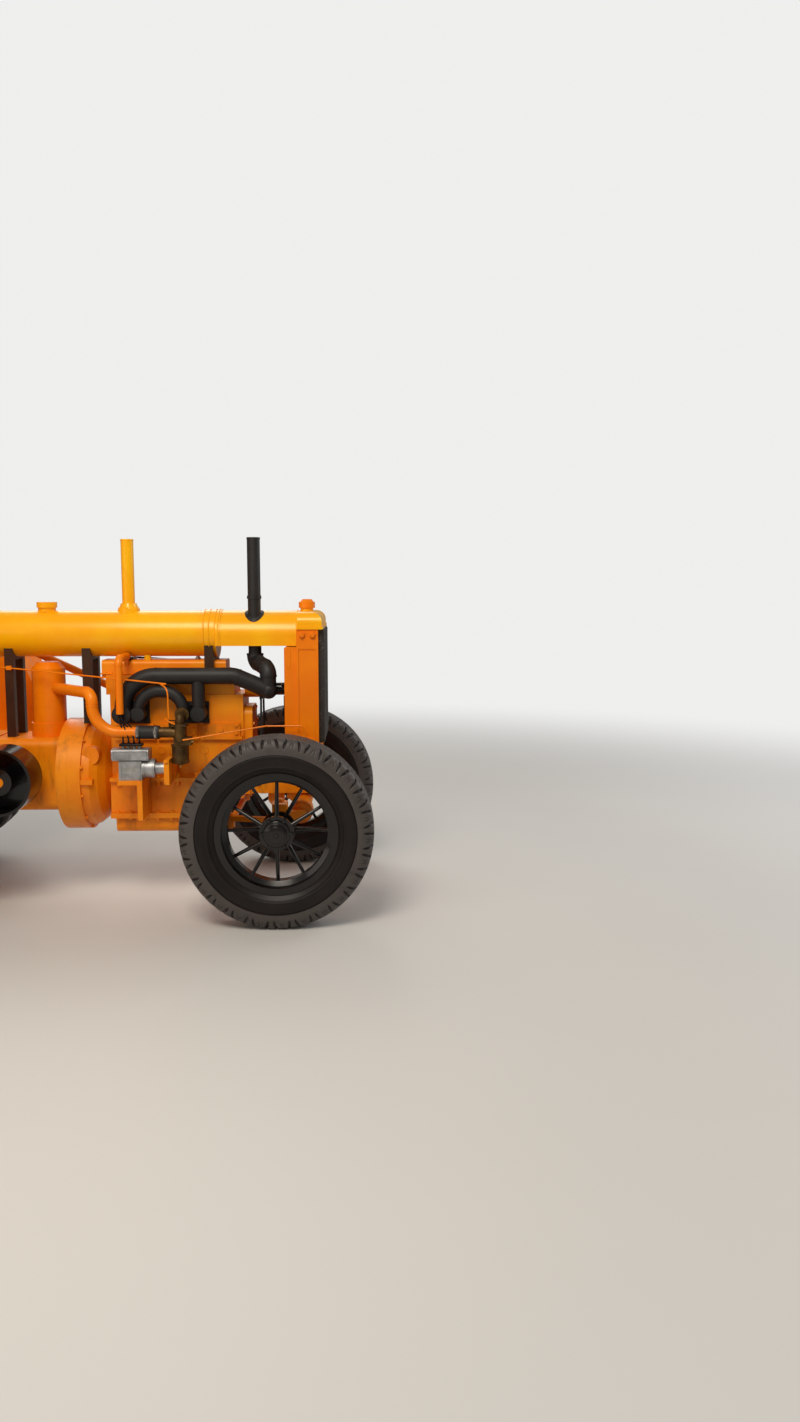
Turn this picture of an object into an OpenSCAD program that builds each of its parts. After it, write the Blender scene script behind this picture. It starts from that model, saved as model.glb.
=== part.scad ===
/* [Overall] */
// Distance from the front axle to the rear axle
wheelbase = 2040; // [1960:10:2300]
// Distance between the middles of the front tyres
front_track = 1100; // [1080:10:1300]
// Distance between the middles of the rear tyres
rear_track = 1400; // [1380:10:1600]
// Running clearance of a shaft in its bore, on the radius
run_fit = 0.05; // [0.02:0.01:0.08]
// Gap left between two pieces that are seated on each other
seat_gap = 0.3; // [0.1:0.1:0.5]

/* [Front wheels] */
// Outer radius of a front tyre
front_tyre_r = 415; // [400:5:440]
// Width of a front tyre
front_tyre_w = 200; // [180:5:210]
// Radius of the front rim where the tyre sits
front_rim_r = 242; // [230:2:250]
// Width of the front rim between its flanges
front_rim_w = 140; // [120:5:150]
// Number of round spokes in a front wheel
front_spokes = 12; // [8:2:16]
// Thickness of a front spoke
front_spoke_d = 13; // [10:1:18]
// Radius of the front hub's flanges
front_hub_r = 75; // [65:1:85]
// Distance from the front hub's middle to each flange
front_hub_half = 48; // [40:1:55]
// Radius of the stub axle
stub_r = 28; // [22:1:32]

/* [Rear wheels] */
// Outer radius of a rear tyre, at the tips of its lugs
rear_tyre_r = 680; // [650:5:720]
// Width of a rear tyre
rear_tyre_w = 344; // [320:2:360]
// Height of the lugs of a rear tyre
lug_h = 34; // [25:1:45]
// Number of lugs on each side of a rear tyre
lug_count = 22; // [16:1:26]
// Width of a lug
lug_w = 38; // [28:1:44]
// Slant of the lugs across the tyre
lug_slant = 45; // [35:1:50]
// Radius of the rear rim where the tyre sits
rear_rim_r = 356; // [340:2:380]
// Width of the rear rim between its flanges
rear_rim_w = 270; // [240:5:290]
// Number of round spokes in a rear wheel
rear_spokes = 20; // [12:2:28]
// Thickness of a rear spoke
rear_spoke_d = 20; // [16:1:26]
// Radius of the rear hub's flanges
rear_hub_r = 112; // [100:2:130]
// Distance from the rear hub's middle to each flange
rear_hub_half = 80; // [70:2:95]
// Radius of the rear axle shaft
rear_shaft_r = 45; // [38:1:50]

/* [Steering] */
// Distance from a kingpin to the middle of its tyre
kingpin_offset = 155; // [150:1:165]
// Radius of a kingpin
kingpin_r = 20; // [16:1:24]
// Length of a steering arm, from the kingpin back to the tie rod
steer_arm = 225; // [210:1:235]
// Height of the steering arms above the floor
steer_arm_z = 438; // [430:1:445]
// Radius of the tie rod
tie_rod_r = 14; // [10:1:16]
// Distance of the steering shaft from the middle of the tractor
steer_shaft_y = 195; // [185:1:205]
// Outer radius of the steering wheel
steer_wheel_r = 225; // [190:5:240]
// Thickness of the steering wheel's rim
steer_rim_d = 24; // [18:1:28]
// Slope of the steering column
column_tilt = 25; // [22:0.5:28]
// Length of the steering column
column_len = 1720; // [1650:5:1800]

/* [Front axle] */
// Distance of the axle beam ahead of the kingpins
beam_x = 86; // [80:1:95]
// Height of the axle beam above the floor
beam_z = 451; // [445:1:460]
// Radius of the axle beam's tube
beam_r = 38; // [32:1:42]
// Distance from the end of the axle beam's tube to the kingpin
beam_end = 45; // [40:1:55]

/* [Engine] */
// Distance of the engine's front face behind the front axle
engine_front = 190; // [185:1:200]
// Length of the engine block
engine_len = 612; // [600:2:640]
// Width of the cylinder block
block_w = 240; // [220:2:250]
// Height of the split between block and crankcase
split_z = 575; // [565:1:585]
// Height of the top of the cylinder block
block_top = 960; // [940:2:970]
// Height of the cylinder head
head_h = 90; // [80:1:95]
// Height of the rocker cover
cover_h = 66; // [56:1:70]
// Width of the crankcase
crankcase_w = 320; // [300:2:330]
// Height of the flange that the oil pan hangs on
pan_z = 414; // [410:1:420]
// Depth of the oil pan below its flange
pan_depth = 96; // [80:1:110]

/* [Fuel tank and hood] */
// Radius of the fuel tank
tank_r = 107; // [100:1:110]
// Height of the fuel tank's middle
tank_z = 1237; // [1232:1:1250]
// Length of the fuel tank
tank_len = 1040; // [950:5:1060]
// Width of the raised band at the front of the fuel tank
band_w = 62; // [40:1:70]
// Height of the hood's straight lower edge
hood_edge_z = 1184; // [1170:1:1200]
// Thickness of the hood's sheet
sheet_t = 3; // [2:0.5:4]
// Radius of the exhaust pipe
exhaust_r = 30; // [26:1:33]
// Height of the top of the exhaust pipe
exhaust_top = 1678; // [1500:2:1800]
// Radius of the air intake stack
stack_r = 29; // [24:1:32]
// Height of the top of the air intake stack
stack_top = 1671; // [1500:2:1800]

/* [Radiator] */
// Distance of the radiator's top tank ahead of the front axle
rad_tank_x = 71; // [66:1:80]
// Width of the radiator over its side channels
rad_w = 464; // [450:2:480]
// Depth of a side channel from front to back
channel_d = 99; // [90:1:105]
// Height of the radiator's bottom
rad_bottom = 640; // [630:1:650]
// Height where the top tank sits on the side channels
rad_top = 1265; // [1255:1:1275]
// Height of the radiator's top tank
top_tank_h = 77; // [70:1:82]
// Radius of the fan
fan_r = 180; // [160:1:185]
// Number of blades of the fan
fan_blades = 4; // [3:1:6]

/* [Rear] */
// Radius of the fenders' curved sheet
fender_r = 745; // [740:1:780]
// Width of a fender
fender_w = 310; // [280:5:330]
// Height of the foot boards
board_z = 700; // [690:2:720]
// Width of the seat
seat_w = 430; // [400:5:460]
// Height of the seat's front lip
seat_z = 1090; // [1060:5:1130]
// Radius of the drawbar's pin hole
drawbar_hole_r = 16; // [12:1:20]
// Height of the drawbar
drawbar_z = 400; // [380:1:420]
// Radius of the power shaft at the rear
pto_r = 17.5; // [15:0.5:20]
// Radius of the belt pulley
pulley_r = 150; // [130:1:160]
// Width of the belt pulley's face
pulley_w = 170; // [150:1:180]

/* [Hidden] */
$fn = 48;
tyre_facets = 48;
well_drop = 3.4;
RIGHT = -1;
LEFT = 1;
overall_len = wheelbase + front_tyre_r + rear_tyre_r;
front_x = overall_len / 2 - front_tyre_r;
rear_x = front_x - wheelbase;
engine_rear = -engine_front - engine_len;
head_top = block_top + head_h;
cover_top = head_top + cover_h;
pan_bottom = pan_z - pan_depth;
tank_front = engine_rear + 492;
tank_back = tank_front - tank_len;
hood_r = tank_r + 11;
exhaust_at = [-138, -53];
exhaust_hole_gap = 5;
manifold_at = [-67, -170, 985];
manifold_outlet_z = hood_edge_z - 140;
pipe_knee = [hood_edge_z - 102, hood_edge_z - 74, hood_edge_z - 38];
wire_at = [engine_rear + 74, -250];
wire_z = [head_top - 164, head_top + 86];
arch_x = -557;
arch_z = 880;
inner_arch_r = 102;
bell_r = 246;
bell_ring_x = -946;
bell_ring_w = 60;
gearbox_top = 760;
case_front = bell_ring_x - bell_ring_w / 2;
kingpin_y = front_track / 2 - kingpin_offset;
beam_half = kingpin_y - beam_end;
pulley_lead = 800;
pulley_at = [rear_x + pulley_lead, 600];
pulley_y = 230;
pulley_shaft_r = 24;
tyre_side_gap = 41;
skirt_y = rear_track / 2 - rear_tyre_w / 2 - tyre_side_gap;
hitch_x = -520;
platform_gap = 66;
pedal_x = 560;
pedal_y = 240;
seat_foot_z = 930;
rail_y = 150;
rail_top = 600;
tie_rod_z = steer_arm_z - 26;
pitman_z = steer_arm_z + 6;
sector_r = 18;
worm_z = 590;
column_start = -60;
column_dir = [-cos(column_tilt), 0, sin(column_tilt)];
fan_x = 10;
fan_z = 975;
shroud_top = hood_edge_z - 4;
fan_shaft_r = 12;
fan_pulley_r = 55;
belt_x = -113;
crank_z = 560;
crank_pulley_r = 90;
orange = [0.93, 0.42, 0.05];
tank_orange = [0.97, 0.55, 0.06];
black = [0.09, 0.09, 0.1];
rubber = [0.07, 0.07, 0.07];
cast_grey = [0.66, 0.67, 0.68];
bronze = [0.36, 0.27, 0.13];
dark = [0.2, 0.12, 0.08];

// Round bar between two points
module rod(a, b, r) {
    d = b - a;
    l = norm(d);
    translate(a) rotate([0, acos(d[2] / l), atan2(d[1], d[0])]) cylinder(h = l, r = r);
}
function unit(v) = v / norm(v);
// How far a bend reaches back from a corner of a tube's route
function bend_reach(a, b, c, bend) = bend * tan(acos(unit(b - a) * unit(c - b)) / 2);
// Tube through a list of points, with a true bend at each corner
module tube(p, r, bends) {
    last = len(p) - 1;
    for (i = [0:last - 1]) {
        d = unit(p[i + 1] - p[i]);
        near = i == 0 ? 0 : bend_reach(p[i - 1], p[i], p[i + 1], bends[i - 1]);
        far = i == last - 1 ? 0 : bend_reach(p[i], p[i + 1], p[i + 2], bends[i]);
        rod(p[i] + near * d, p[i + 1] - far * d, r);
    }
    for (i = [1:last - 1]) {
        d = unit(p[i] - p[i - 1]);
        e = unit(p[i + 1] - p[i]);
        axis = unit(cross(d, e));
        out = cross(d, axis);
        middle = p[i] - bend_reach(p[i - 1], p[i], p[i + 1], bends[i - 1]) * d - bends[i - 1] * out;
        multmatrix([[out[0], d[0], axis[0], middle[0]], [out[1], d[1], axis[1], middle[1]],
            [out[2], d[2], axis[2], middle[2]]])
            rotate_extrude(angle = acos(d * e), $fn = 96) translate([bends[i - 1], 0]) circle(r = r);
        // A bead at each end of the bend, where it is welded on
        reach = bend_reach(p[i - 1], p[i], p[i + 1], bends[i - 1]);
        rod(p[i] - (reach + 3) * d, p[i] - (reach - 3) * d, r + 1.5);
        rod(p[i] + (reach - 3) * e, p[i] + (reach + 3) * e, r + 1.5);
    }
}
// Box between two corners
module box(a, b) { translate(a) cube(b - a); }
// Box whose corners along X are rounded
module soft_box(a, b, r) {
    translate([a[0], a[1], a[2]]) rotate([90, 0, 90]) linear_extrude(b[0] - a[0])
        translate([r, r]) rounded(b[1] - a[1] - 2 * r, b[2] - a[2] - 2 * r, r);
}
// Rectangle grown by a radius all round
module rounded(w, h, r) {
    translate([-r, 0]) square([w + 2 * r, h]);
    translate([0, -r]) square([w, h + 2 * r]);
    for (x = [0, w], y = [0, h]) translate([x, y]) circle(r = r);
}
// Round bar along Y, from one place to another
module y_bar(x, z, y0, y1, r, facets = $fn) {
    translate([x, y0, z]) rotate([-90, 0, 0]) cylinder(h = y1 - y0, r = r, $fn = facets);
}
// Round bar along X
module x_bar(x0, x1, y, z, r) { translate([x0, y, z]) rotate([0, 90, 0]) cylinder(h = x1 - x0, r = r); }
// Places children at the front axle, where the front end is measured from
module at_front() { translate([front_x, 0, 0]) children(); }
// Places children at the rear axle
module at_rear() { translate([rear_x, 0, 0]) children(); }

// Ring turned about Y from a section given as [radius, distance from its middle]
module wheel_turned(facets = 96) { rotate([-90, 0, 0]) rotate_extrude($fn = facets) children(); }
// A tyre's section: beads in the rim, bulged sides, shoulders and a flat crown
module tyre_section(crown_r, w, rim_r, rim_w, flange, tread_w) {
    bead = rim_w / 2 - seat_gap;
    tall = crown_r - rim_r;
    half = [[0, bead], [flange + 4, bead], [tall * 0.38, w * 0.485], [tall * 0.62, w * 0.485],
        [tall * 0.92, tread_w / 2], [tall, tread_w * 0.36]];
    back = [for (i = [5:-1:0]) [rim_r + half[i][0], -half[i][1]]];
    polygon(concat([for (p = half) [rim_r + p[0], p[1]]], back));
}
// Rim section with a flange on each side and a dropped middle
module rim_section(rim_r, w, t, flange) {
    r = rim_r - seat_gap;
    drop = t * well_drop;
    polygon([[r, -w / 2], [r + flange, -w / 2 - t * 0.3], [r + flange, -w / 2 - t], [r - t, -w / 2 - t],
        [r - t, -w / 4], [r - drop - t, -w / 6], [r - drop - t, w / 6], [r - t, w / 4],
        [r - t, w / 2 + t], [r + flange, w / 2 + t], [r + flange, w / 2 + t * 0.3], [r, w / 2],
        [r, w / 4 - t / 2], [r - drop, w / 6 - t / 2], [r - drop, -w / 6 + t / 2], [r, -w / 4 + t / 2]]);
}
// Rim, hub and round spokes; the spokes reach the two hub flanges in turn
module spoked_wheel(rim_r, rim_w, rim_t, flange, hub_r, hub_half, bore_r, count, spoke_d) {
    flange_t = spoke_d * 1.3;
    difference() {
        union() {
            wheel_turned() rim_section(rim_r, rim_w, rim_t, flange);
            y_bar(0, 0, -hub_half - flange_t / 2, hub_half + flange_t / 2, hub_r * 0.72);
            for (s = [-1, 1]) y_bar(0, 0, s * hub_half - flange_t / 2, s * hub_half + flange_t / 2, hub_r);
            for (i = [0:count - 1]) {
                side = i % 2 == 0 ? 1 : -1;
                rotate([0, i * 360 / count, 0])
                    rod([0, side * hub_half, hub_r - flange_t],
                        [0, side * rim_w * 0.06, rim_r - rim_t * (well_drop + 0.5)], spoke_d / 2);
            }
        }
        y_bar(0, 0, -hub_half * 2, hub_half * 2, bore_r);
    }
}

case_half = 105;
case_foot = 482;
case_top = 900;
case_deep = 40;
module engine_block() color(orange) at_front() {
    crank_w = crankcase_w / 2;
    half = block_w / 2;
    box([engine_rear, -half, split_z - 20], [-engine_front, half, block_top]);
    // Crankcase, deeper over the oil pan than at the front
    box([engine_rear, -crank_w, pan_z], [-330, crank_w, split_z]);
    box([-330, -crank_w, 480], [-engine_front, crank_w, split_z]);
    // Split flange with its bosses
    box([engine_rear, -crank_w - 20, split_z - 12], [-engine_front, crank_w + 20, split_z + 4]);
    for (s = [-1, 1], x = [engine_rear + 40:90:-engine_front - 40])
        translate([x, s * (crank_w + 8), split_z - 22]) cylinder(h = 40, r = 11, $fn = 24);
    // Side covers, each with its shelf moulding
    for (s = [-1, 1], x = [engine_rear + 30, engine_rear + 228, engine_rear + 426]) {
        box([x, s > 0 ? half : -half - 14, 766], [x + 170, s > 0 ? half + 14 : -half, 826]);
        box([x - 10, s > 0 ? half : -half - 20, 752], [x + 180, s > 0 ? half + 20 : -half, 766]);
        translate([x + 85, s * (half + 14), 796]) rotate([90, 0, 0])
            cylinder(h = 20, r = 9, center = true, $fn = 24);
    }
    // Timing case at the front, with the crankshaft's nose
    soft_box([-engine_front, -case_half, case_foot], [-engine_front + case_deep, case_half, case_top], 40);
    x_bar(-engine_front + case_deep, -engine_front + 62, 0, crank_z, 46);
    // Shelf that carries the magneto, with its leg down to the pan flange
    box([-724, -350, split_z + 3], [-617, -crank_w - 10, split_z + 23]);
    box([-640, -350, pan_z + 4], [-617, -crank_w + 1, split_z + 4]);
    // Drive housing ahead of the magneto
    box([-520, -345, split_z + 3], [-497, -half + 1, 690]);
    x_bar(-523, -497, -300, 647, 34);
    // Water pump and the shaft that carries the fan
    x_bar(-engine_front - 1, belt_x - 15, 0, fan_z, 40);
    x_bar(belt_x - 16, fan_x + 26, 0, fan_z, fan_shaft_r);
    // Crankshaft pulley with its groove
    x_bar(-engine_front + 61, belt_x + 13, 0, crank_z, crank_pulley_r - 8);
    for (x = [belt_x - 13, belt_x + 6]) x_bar(x, x + 7, 0, crank_z, crank_pulley_r);
}
module oil_pan() color(orange) at_front() {
    half = crankcase_w / 2;
    box([engine_rear, -half - 18, pan_z - 24], [-330, half + 18, pan_z - seat_gap]);
    soft_box([engine_rear + 20, -half + 6, pan_bottom], [-350, half - 6, pan_z - seat_gap], 34);
}
module cylinder_head() color(orange) at_front() {
    box([engine_rear - 18, -block_w / 2 + 5, block_top + seat_gap],
        [-engine_front - 40, block_w / 2 - 5, head_top]);
    soft_box([engine_rear - 46, -72, head_top - 20], [-273, 72, cover_top], 19);
    for (x = [engine_rear + 20:95:-engine_front - 60], s = [-1, 1])
        translate([x, s * 96, head_top - 1]) cylinder(h = 16, r = 12, $fn = 6);
}
module exhaust_manifold() color(black) at_front() {
    y = -185;
    face = -block_w / 2 - seat_gap;
    outer = [172, 38];
    inner = [inner_arch_r, 28];
    branch = [172, 30];
    top = arch_z + outer[0];
    // Outer arch, which runs on forward as the collector
    tube([[arch_x - outer[0], y, arch_z], [arch_x - outer[0], y, top], [-220, y, top], manifold_at],
        outer[1], [outer[0] - 20, 80]);
    translate(manifold_at) sphere(r = outer[1] + 3);
    translate(manifold_at) cylinder(h = manifold_outlet_z - manifold_at[2], r = outer[1] - 2);
    translate([arch_x + branch[0], y, arch_z]) cylinder(h = outer[0], r = branch[1]);
    // Inner arch, which the carburettor feeds
    tube([[arch_x - inner[0], y, arch_z], [arch_x - inner[0], y, arch_z + inner[0]],
        [arch_x + inner[0], y, arch_z + inner[0]], [arch_x + inner[0], y, arch_z]], inner[1],
        [inner[0] - 10, inner[0] - 10]);
    // Feet turned in to their flanges on the block
    for (foot = [[-outer[0], outer[1]], [-inner[0], inner[1]], [inner[0], inner[1]], branch]) {
        x = arch_x + foot[0];
        y_bar(x, arch_z, y - foot[1] - 8, face, foot[1] + 4);
        box([x - 38, face - 14, arch_z - 50], [x + 38, face, arch_z + 50]);
    }
}
module exhaust_pipe() color(black) at_front() {
    x = exhaust_at[0];
    y = exhaust_at[1];
    foot = [manifold_at[0], manifold_at[1]];
    tube([[foot[0], foot[1], manifold_outlet_z + seat_gap], [foot[0], foot[1], pipe_knee[0]],
        [x, y, pipe_knee[1]], [x, y, pipe_knee[2]]], exhaust_r + 8, [40, 40]);
    translate([x, y, pipe_knee[2] - 2]) cylinder(h = exhaust_top - pipe_knee[2] + 2, r = exhaust_r);
    translate([x, y, (pipe_knee[2] + exhaust_top) / 2 - 12]) cylinder(h = 14, r = exhaust_r + 3);
}
// Route of the intake tube from the air cleaner round the back of the engine
tube_end = [-648, -285, 807];
tube_top = [-843, -285, 985];
cleaner_r = 76;
intake_r = 26;
hose_len = 102;
cleaner_x = -1115;
cleaner_at = [cleaner_x, 0, tube_top[2]];
module intake_tube() color(orange) at_front()
    tube([cleaner_at + (cleaner_r + seat_gap) * unit(tube_top - cleaner_at), tube_top,
        [tube_top[0], tube_end[1], tube_end[2]], tube_end], intake_r, [45, 120]);
module intake_hose() color(rubber) at_front()
    x_bar(tube_end[0] + seat_gap, tube_end[0] + hose_len, tube_end[1], tube_end[2], intake_r + 4);
module carburettor() color(bronze) at_front() {
    x = arch_x + inner_arch_r;
    y = tube_end[1];
    z = tube_end[2];
    x_bar(tube_end[0] + hose_len + seat_gap, x, y, z, 24);
    translate([x, y, z - 40]) cylinder(h = 72, r = 30);
    translate([x, y, 668]) cylinder(h = 84, r = 38);
    translate([x, y, 660]) cylinder(h = 9, r = 12);
    box([x - 26, y - 22, 750], [x + 52, y + 22, 786]);
    box([x - 34, y - 30, z + 28], [x + 34, y + 30, z + 40]);
    // Riser to the inner arch of the manifold
    tube([[x, y, z + 35], [x, y, arch_z], [x, -185 - 28 - 8 - seat_gap, arch_z]], 20, [26]);
    y_bar(x, arch_z, -185 - 28 - 18, -185 - 28 - 8 - seat_gap, 32);
}
module magneto() color(cast_grey) at_front() {
    x = -670;
    y = -300;
    base = split_z + 23 + seat_gap;
    box([x - 51, y - 38, base], [x + 51, y + 38, base + 86]);
    soft_box([x - 82, y - 42, base + 86], [x + 82, y + 42, base + 140], 14);
    for (i = [-1.5:1:1.5]) translate([x + i * 24, y, base + 139]) cylinder(h = 12, r = 8, $fn = 24);
    x_bar(x + 51, x + 106, y, 647, 41.5);
    x_bar(x + 106, -523 - seat_gap, y, 647, 25.5);
}
module wire_tube() color(orange) at_front() {
    x = wire_at[0];
    top = wire_z[1];
    tube([[x, wire_at[1], wire_z[0]], [x, wire_at[1], top], [x, -80, top]], 17, [30]);
    // Clip that stands on the rocker cover's side
    box([x - 8, -104, top - 44], [x + 8, -72 - seat_gap, top - 10]);
}
module clutch_housing() color(orange) at_front() {
    dome_len = engine_rear - case_front - bell_ring_w;
    dome = [for (a = [0:15:60]) [bell_r * cos(a), dome_len * sin(a) / sin(60)]];
    translate([case_front, 0, split_z]) rotate([0, 90, 0]) {
        cylinder(h = bell_ring_w, r = bell_r + 16, $fn = 96);
        translate([0, 0, bell_ring_w]) rotate_extrude($fn = 96)
            polygon(concat([[0, 0]], dome, [[0, dome[len(dome) - 1][1]]]));
    }
    // Split flange and inspection boss
    for (s = [-1, 1]) {
        box([case_front + 20, s > 0 ? 120 : -bell_r - 10, split_z - 12],
            [engine_rear - 60, s > 0 ? bell_r + 10 : -120, split_z + 12]);
        translate([-880, s * 150, 690]) rotate([90, 0, 0]) cylinder(h = 130, r = 42, center = true, $fn = 32);
    }
}
module transmission_case() color(orange) {
    front = case_front + front_x - seat_gap;
    half = 150;
    at_rear() {
        y_bar(0, rear_tyre_r, -190, 190, 240);
        for (s = [-1, 1]) y_bar(0, rear_tyre_r, s * 190 - 12, s * 190 + 12, 180);
        // Rear cover with the bearing of the power shaft
        soft_box([-262, -120, 470], [-200, 120, 800], 40);
        x_bar(-280, -262, 0, 560, 52);
        x_bar(-390, -280, 0, 560, pto_r);
    }
    soft_box([rear_x + 60, -half, 420], [front, half, gearbox_top], 40);
    soft_box([rear_x, -130, rear_tyre_r - 240], [rear_x + 420, 130, 850], 50);
    box([rear_x - 60, -60, 800], [rear_x + 140, 60, seat_foot_z]);
    translate([front - 50, 0, split_z]) rotate([0, 90, 0]) cylinder(h = 50, r = bell_r + 16, $fn = 96);
    // Bearing housing of the belt pulley on the right side
    y_bar(pulley_at[0], pulley_at[1], -pulley_y, -half + 10, 70);
    y_bar(pulley_at[0], pulley_at[1], -pulley_y - pulley_w + 20, -pulley_y + 1, pulley_shaft_r);
}
module axle_housings() color(orange) at_rear() {
    for (s = [-1, 1]) mirror([0, s > 0 ? 0 : 1, 0]) {
        inner = 202 + seat_gap;
        outer = rear_track / 2 - rear_hub_half - 30;
        translate([0, inner, rear_tyre_r]) rotate([-90, 0, 0]) {
            cylinder(h = 26, r = 170);
            cylinder(h = outer - inner, r1 = 140, r2 = 84);
        }
        y_bar(0, rear_tyre_r, outer - 40, outer, 96);
        y_bar(0, rear_tyre_r, outer - 1, rear_track / 2 + rear_hub_half + 24, rear_shaft_r);
        // Pad that the fender and foot board are bolted to
        box([-90, inner + 90, rear_tyre_r + 60], [90, inner + 140, rear_tyre_r + 150]);
    }
}
module fuel_tank() color(tank_orange) at_front() {
    x_bar(tank_back + 18, tank_front - 4, 0, tank_z, tank_r);
    x_bar(tank_back, tank_back + 19, 0, tank_z, tank_r - 14);
    x_bar(tank_front - band_w, tank_front - 4, 0, tank_z, tank_r + 5);
    translate([tank_back + 240, 0, tank_z + tank_r - 6]) cylinder(h = 22, r = 40);
    translate([tank_back + 240, 0, tank_z + tank_r + 14]) cylinder(h = 26, r = 46);
    // Sediment outlet under the tank
    translate([-640, -40, tank_z - tank_r - 14]) cylinder(h = 24, r = 16);
}
// Cradle that carries the tank: a plate with its saddle cut by the tank
module cradle(x0, x1, half, leg, foot_z, saddle_r) {
    difference() {
        box([x0, -half, foot_z], [x1, half, tank_z - 50]);
        x_bar(x0 - 1, x1 + 1, 0, tank_z, saddle_r + seat_gap);
        box([x0 - 1, -half + leg, foot_z - 1], [x1 + 1, half - leg, tank_z - tank_r - 12]);
    }
}
cradle_x = -934;
cradle_w = 40;
cradle_half = 86;
cradle_t = 34;
module tank_cradles() color(dark) at_front() {
    difference() {
        cradle(cradle_x, cradle_x + cradle_w, cradle_half, cradle_t, split_z, tank_r);
        translate([cradle_x - 2 * cradle_w, 0, split_z]) rotate([0, 90, 0])
            cylinder(h = 4 * cradle_w, r = bell_r + 16 + seat_gap, $fn = 96);
    }
    cradle(tank_back + 60, tank_back + 60 + cradle_w, cradle_half, cradle_t, gearbox_top + seat_gap, tank_r);
    cradle(-368, -326, 100, 24, head_top + seat_gap, tank_r + 5);
}
module front_hood() color(tank_orange) at_front() {
    x0 = tank_front - 4 + seat_gap;
    x1 = rad_tank_x - seat_gap;
    difference() {
        union() {
            hood_shell(x0, x1, hood_r);
            hood_shell(x0, x0 + 22, hood_r + 4);
        }
        hood_shell(x0 - 1, x1 + 1, hood_r - sheet_t);
        box([x0 - 1, -hood_r - 10, tank_z - 300], [x1 + 1, hood_r + 10, hood_edge_z]);
        translate([exhaust_at[0], exhaust_at[1], tank_z]) cylinder(h = 200, r = exhaust_r + exhaust_hole_gap);
    }
}
// Long arch with straight sides
module hood_shell(x0, x1, r) {
    x_bar(x0, x1, 0, tank_z - 10, r);
    box([x0, -r, tank_z - 200], [x1, r, tank_z - 10]);
}
module intake_stack() color(tank_orange) at_front() {
    top = tank_z + tank_r;
    translate([-730, 0, 0]) difference() {
        union() {
            translate([0, 0, top - 20]) cylinder(h = 30, r = 50);
            translate([0, 0, top + 10]) cylinder(h = 24, r1 = 44, r2 = 36);
            translate([0, 0, top + 30]) cylinder(h = stack_top - top - 30, r = stack_r);
        }
        x_bar(-100, 100, 0, tank_z, tank_r + seat_gap);
        translate([0, 0, stack_top - 60]) cylinder(h = 61, r = stack_r - 3);
    }
}
module air_cleaner() color(orange) at_front() {
    foot = gearbox_top + seat_gap;
    translate([cleaner_at[0], cleaner_at[1], 0]) {
        translate([0, 0, foot]) cylinder(h = 60, r = cleaner_r + 8);
        translate([0, 0, foot + 55]) cylinder(h = 260, r = cleaner_r);
        translate([0, 0, foot + 315]) cylinder(h = 30, r1 = cleaner_r, r2 = cleaner_r - 26);
    }
}
module radiator_core() color(rubber) at_front() {
    box([rad_tank_x + 6, -rad_w / 2 + 27.3, rad_bottom + 105 + seat_gap],
        [rad_tank_x + 117, rad_w / 2 - 27.3, rad_top - seat_gap]);
}
module radiator_tank() color(orange) at_front() {
    depth = 111;
    half = rad_w / 2 + 3;
    difference() {
        intersection() {
            box([rad_tank_x, -half, rad_top], [rad_tank_x + depth, half, rad_top + top_tank_h]);
            union() {
                box([rad_tank_x, -half, rad_top], [rad_tank_x + depth - 45, half, rad_top + top_tank_h]);
                box([rad_tank_x, -half, rad_top], [rad_tank_x + depth, half, rad_top + top_tank_h - 45]);
                y_bar(rad_tank_x + depth - 45, rad_top + top_tank_h - 45, -half, half, 45);
            }
            soft_box([rad_tank_x, -half, rad_top - 60], [rad_tank_x + depth, half, rad_top + top_tank_h], 50);
        }
    }
    // Filler neck
    translate([rad_tank_x + 32, 0, rad_top + top_tank_h - 4]) cylinder(h = 18, r = 30);
    // Flange that is bolted to the side channels
    box([rad_tank_x, -half - 3, rad_top], [rad_tank_x + depth + 4, half + 3, rad_top + 14]);
}
module filler_cap() color(orange) at_front() {
    translate([rad_tank_x + 32, 0, rad_top + top_tank_h + 14 + seat_gap]) {
        cylinder(h = 28, r = 38);
        translate([0, 0, 27]) cylinder(h = 14, r1 = 34, r2 = 22);
    }
}
module radiator_frame() color(orange) at_front() {
    x0 = rad_tank_x - 5;
    half = rad_w / 2;
    for (s = [-1, 1]) mirror([0, s > 0 ? 0 : 1, 0]) {
        difference() {
            box([x0, half - 27, rad_bottom], [x0 + channel_d, half, rad_top - seat_gap]);
            box([x0 + 10, half - 4, rad_bottom + 130], [x0 + channel_d - 10, half + 1, rad_top - 90]);
        }
        // Fan shroud's side and the brackets that hold it
        box([fan_x, half - 15, rad_bottom + 105], [x0 + 1, half - 12, shroud_top]);
    }
    // Bottom tank between the channels
    soft_box([x0, -half + 1, rad_bottom], [x0 + channel_d, half - 1, rad_bottom + 105], 16);
    // Rear plate of the shroud round the fan
    difference() {
        box([fan_x, -half + 14, rad_bottom + 105], [fan_x + 3, half - 14, shroud_top]);
        x_bar(fan_x - 1, fan_x + 4, 0, fan_z, fan_r + 14);
    }
    for (z = [rad_bottom + 105, shroud_top - 3]) box([fan_x, -half + 14, z], [x0 + 1, half - 14, z + 3]);
}
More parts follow.
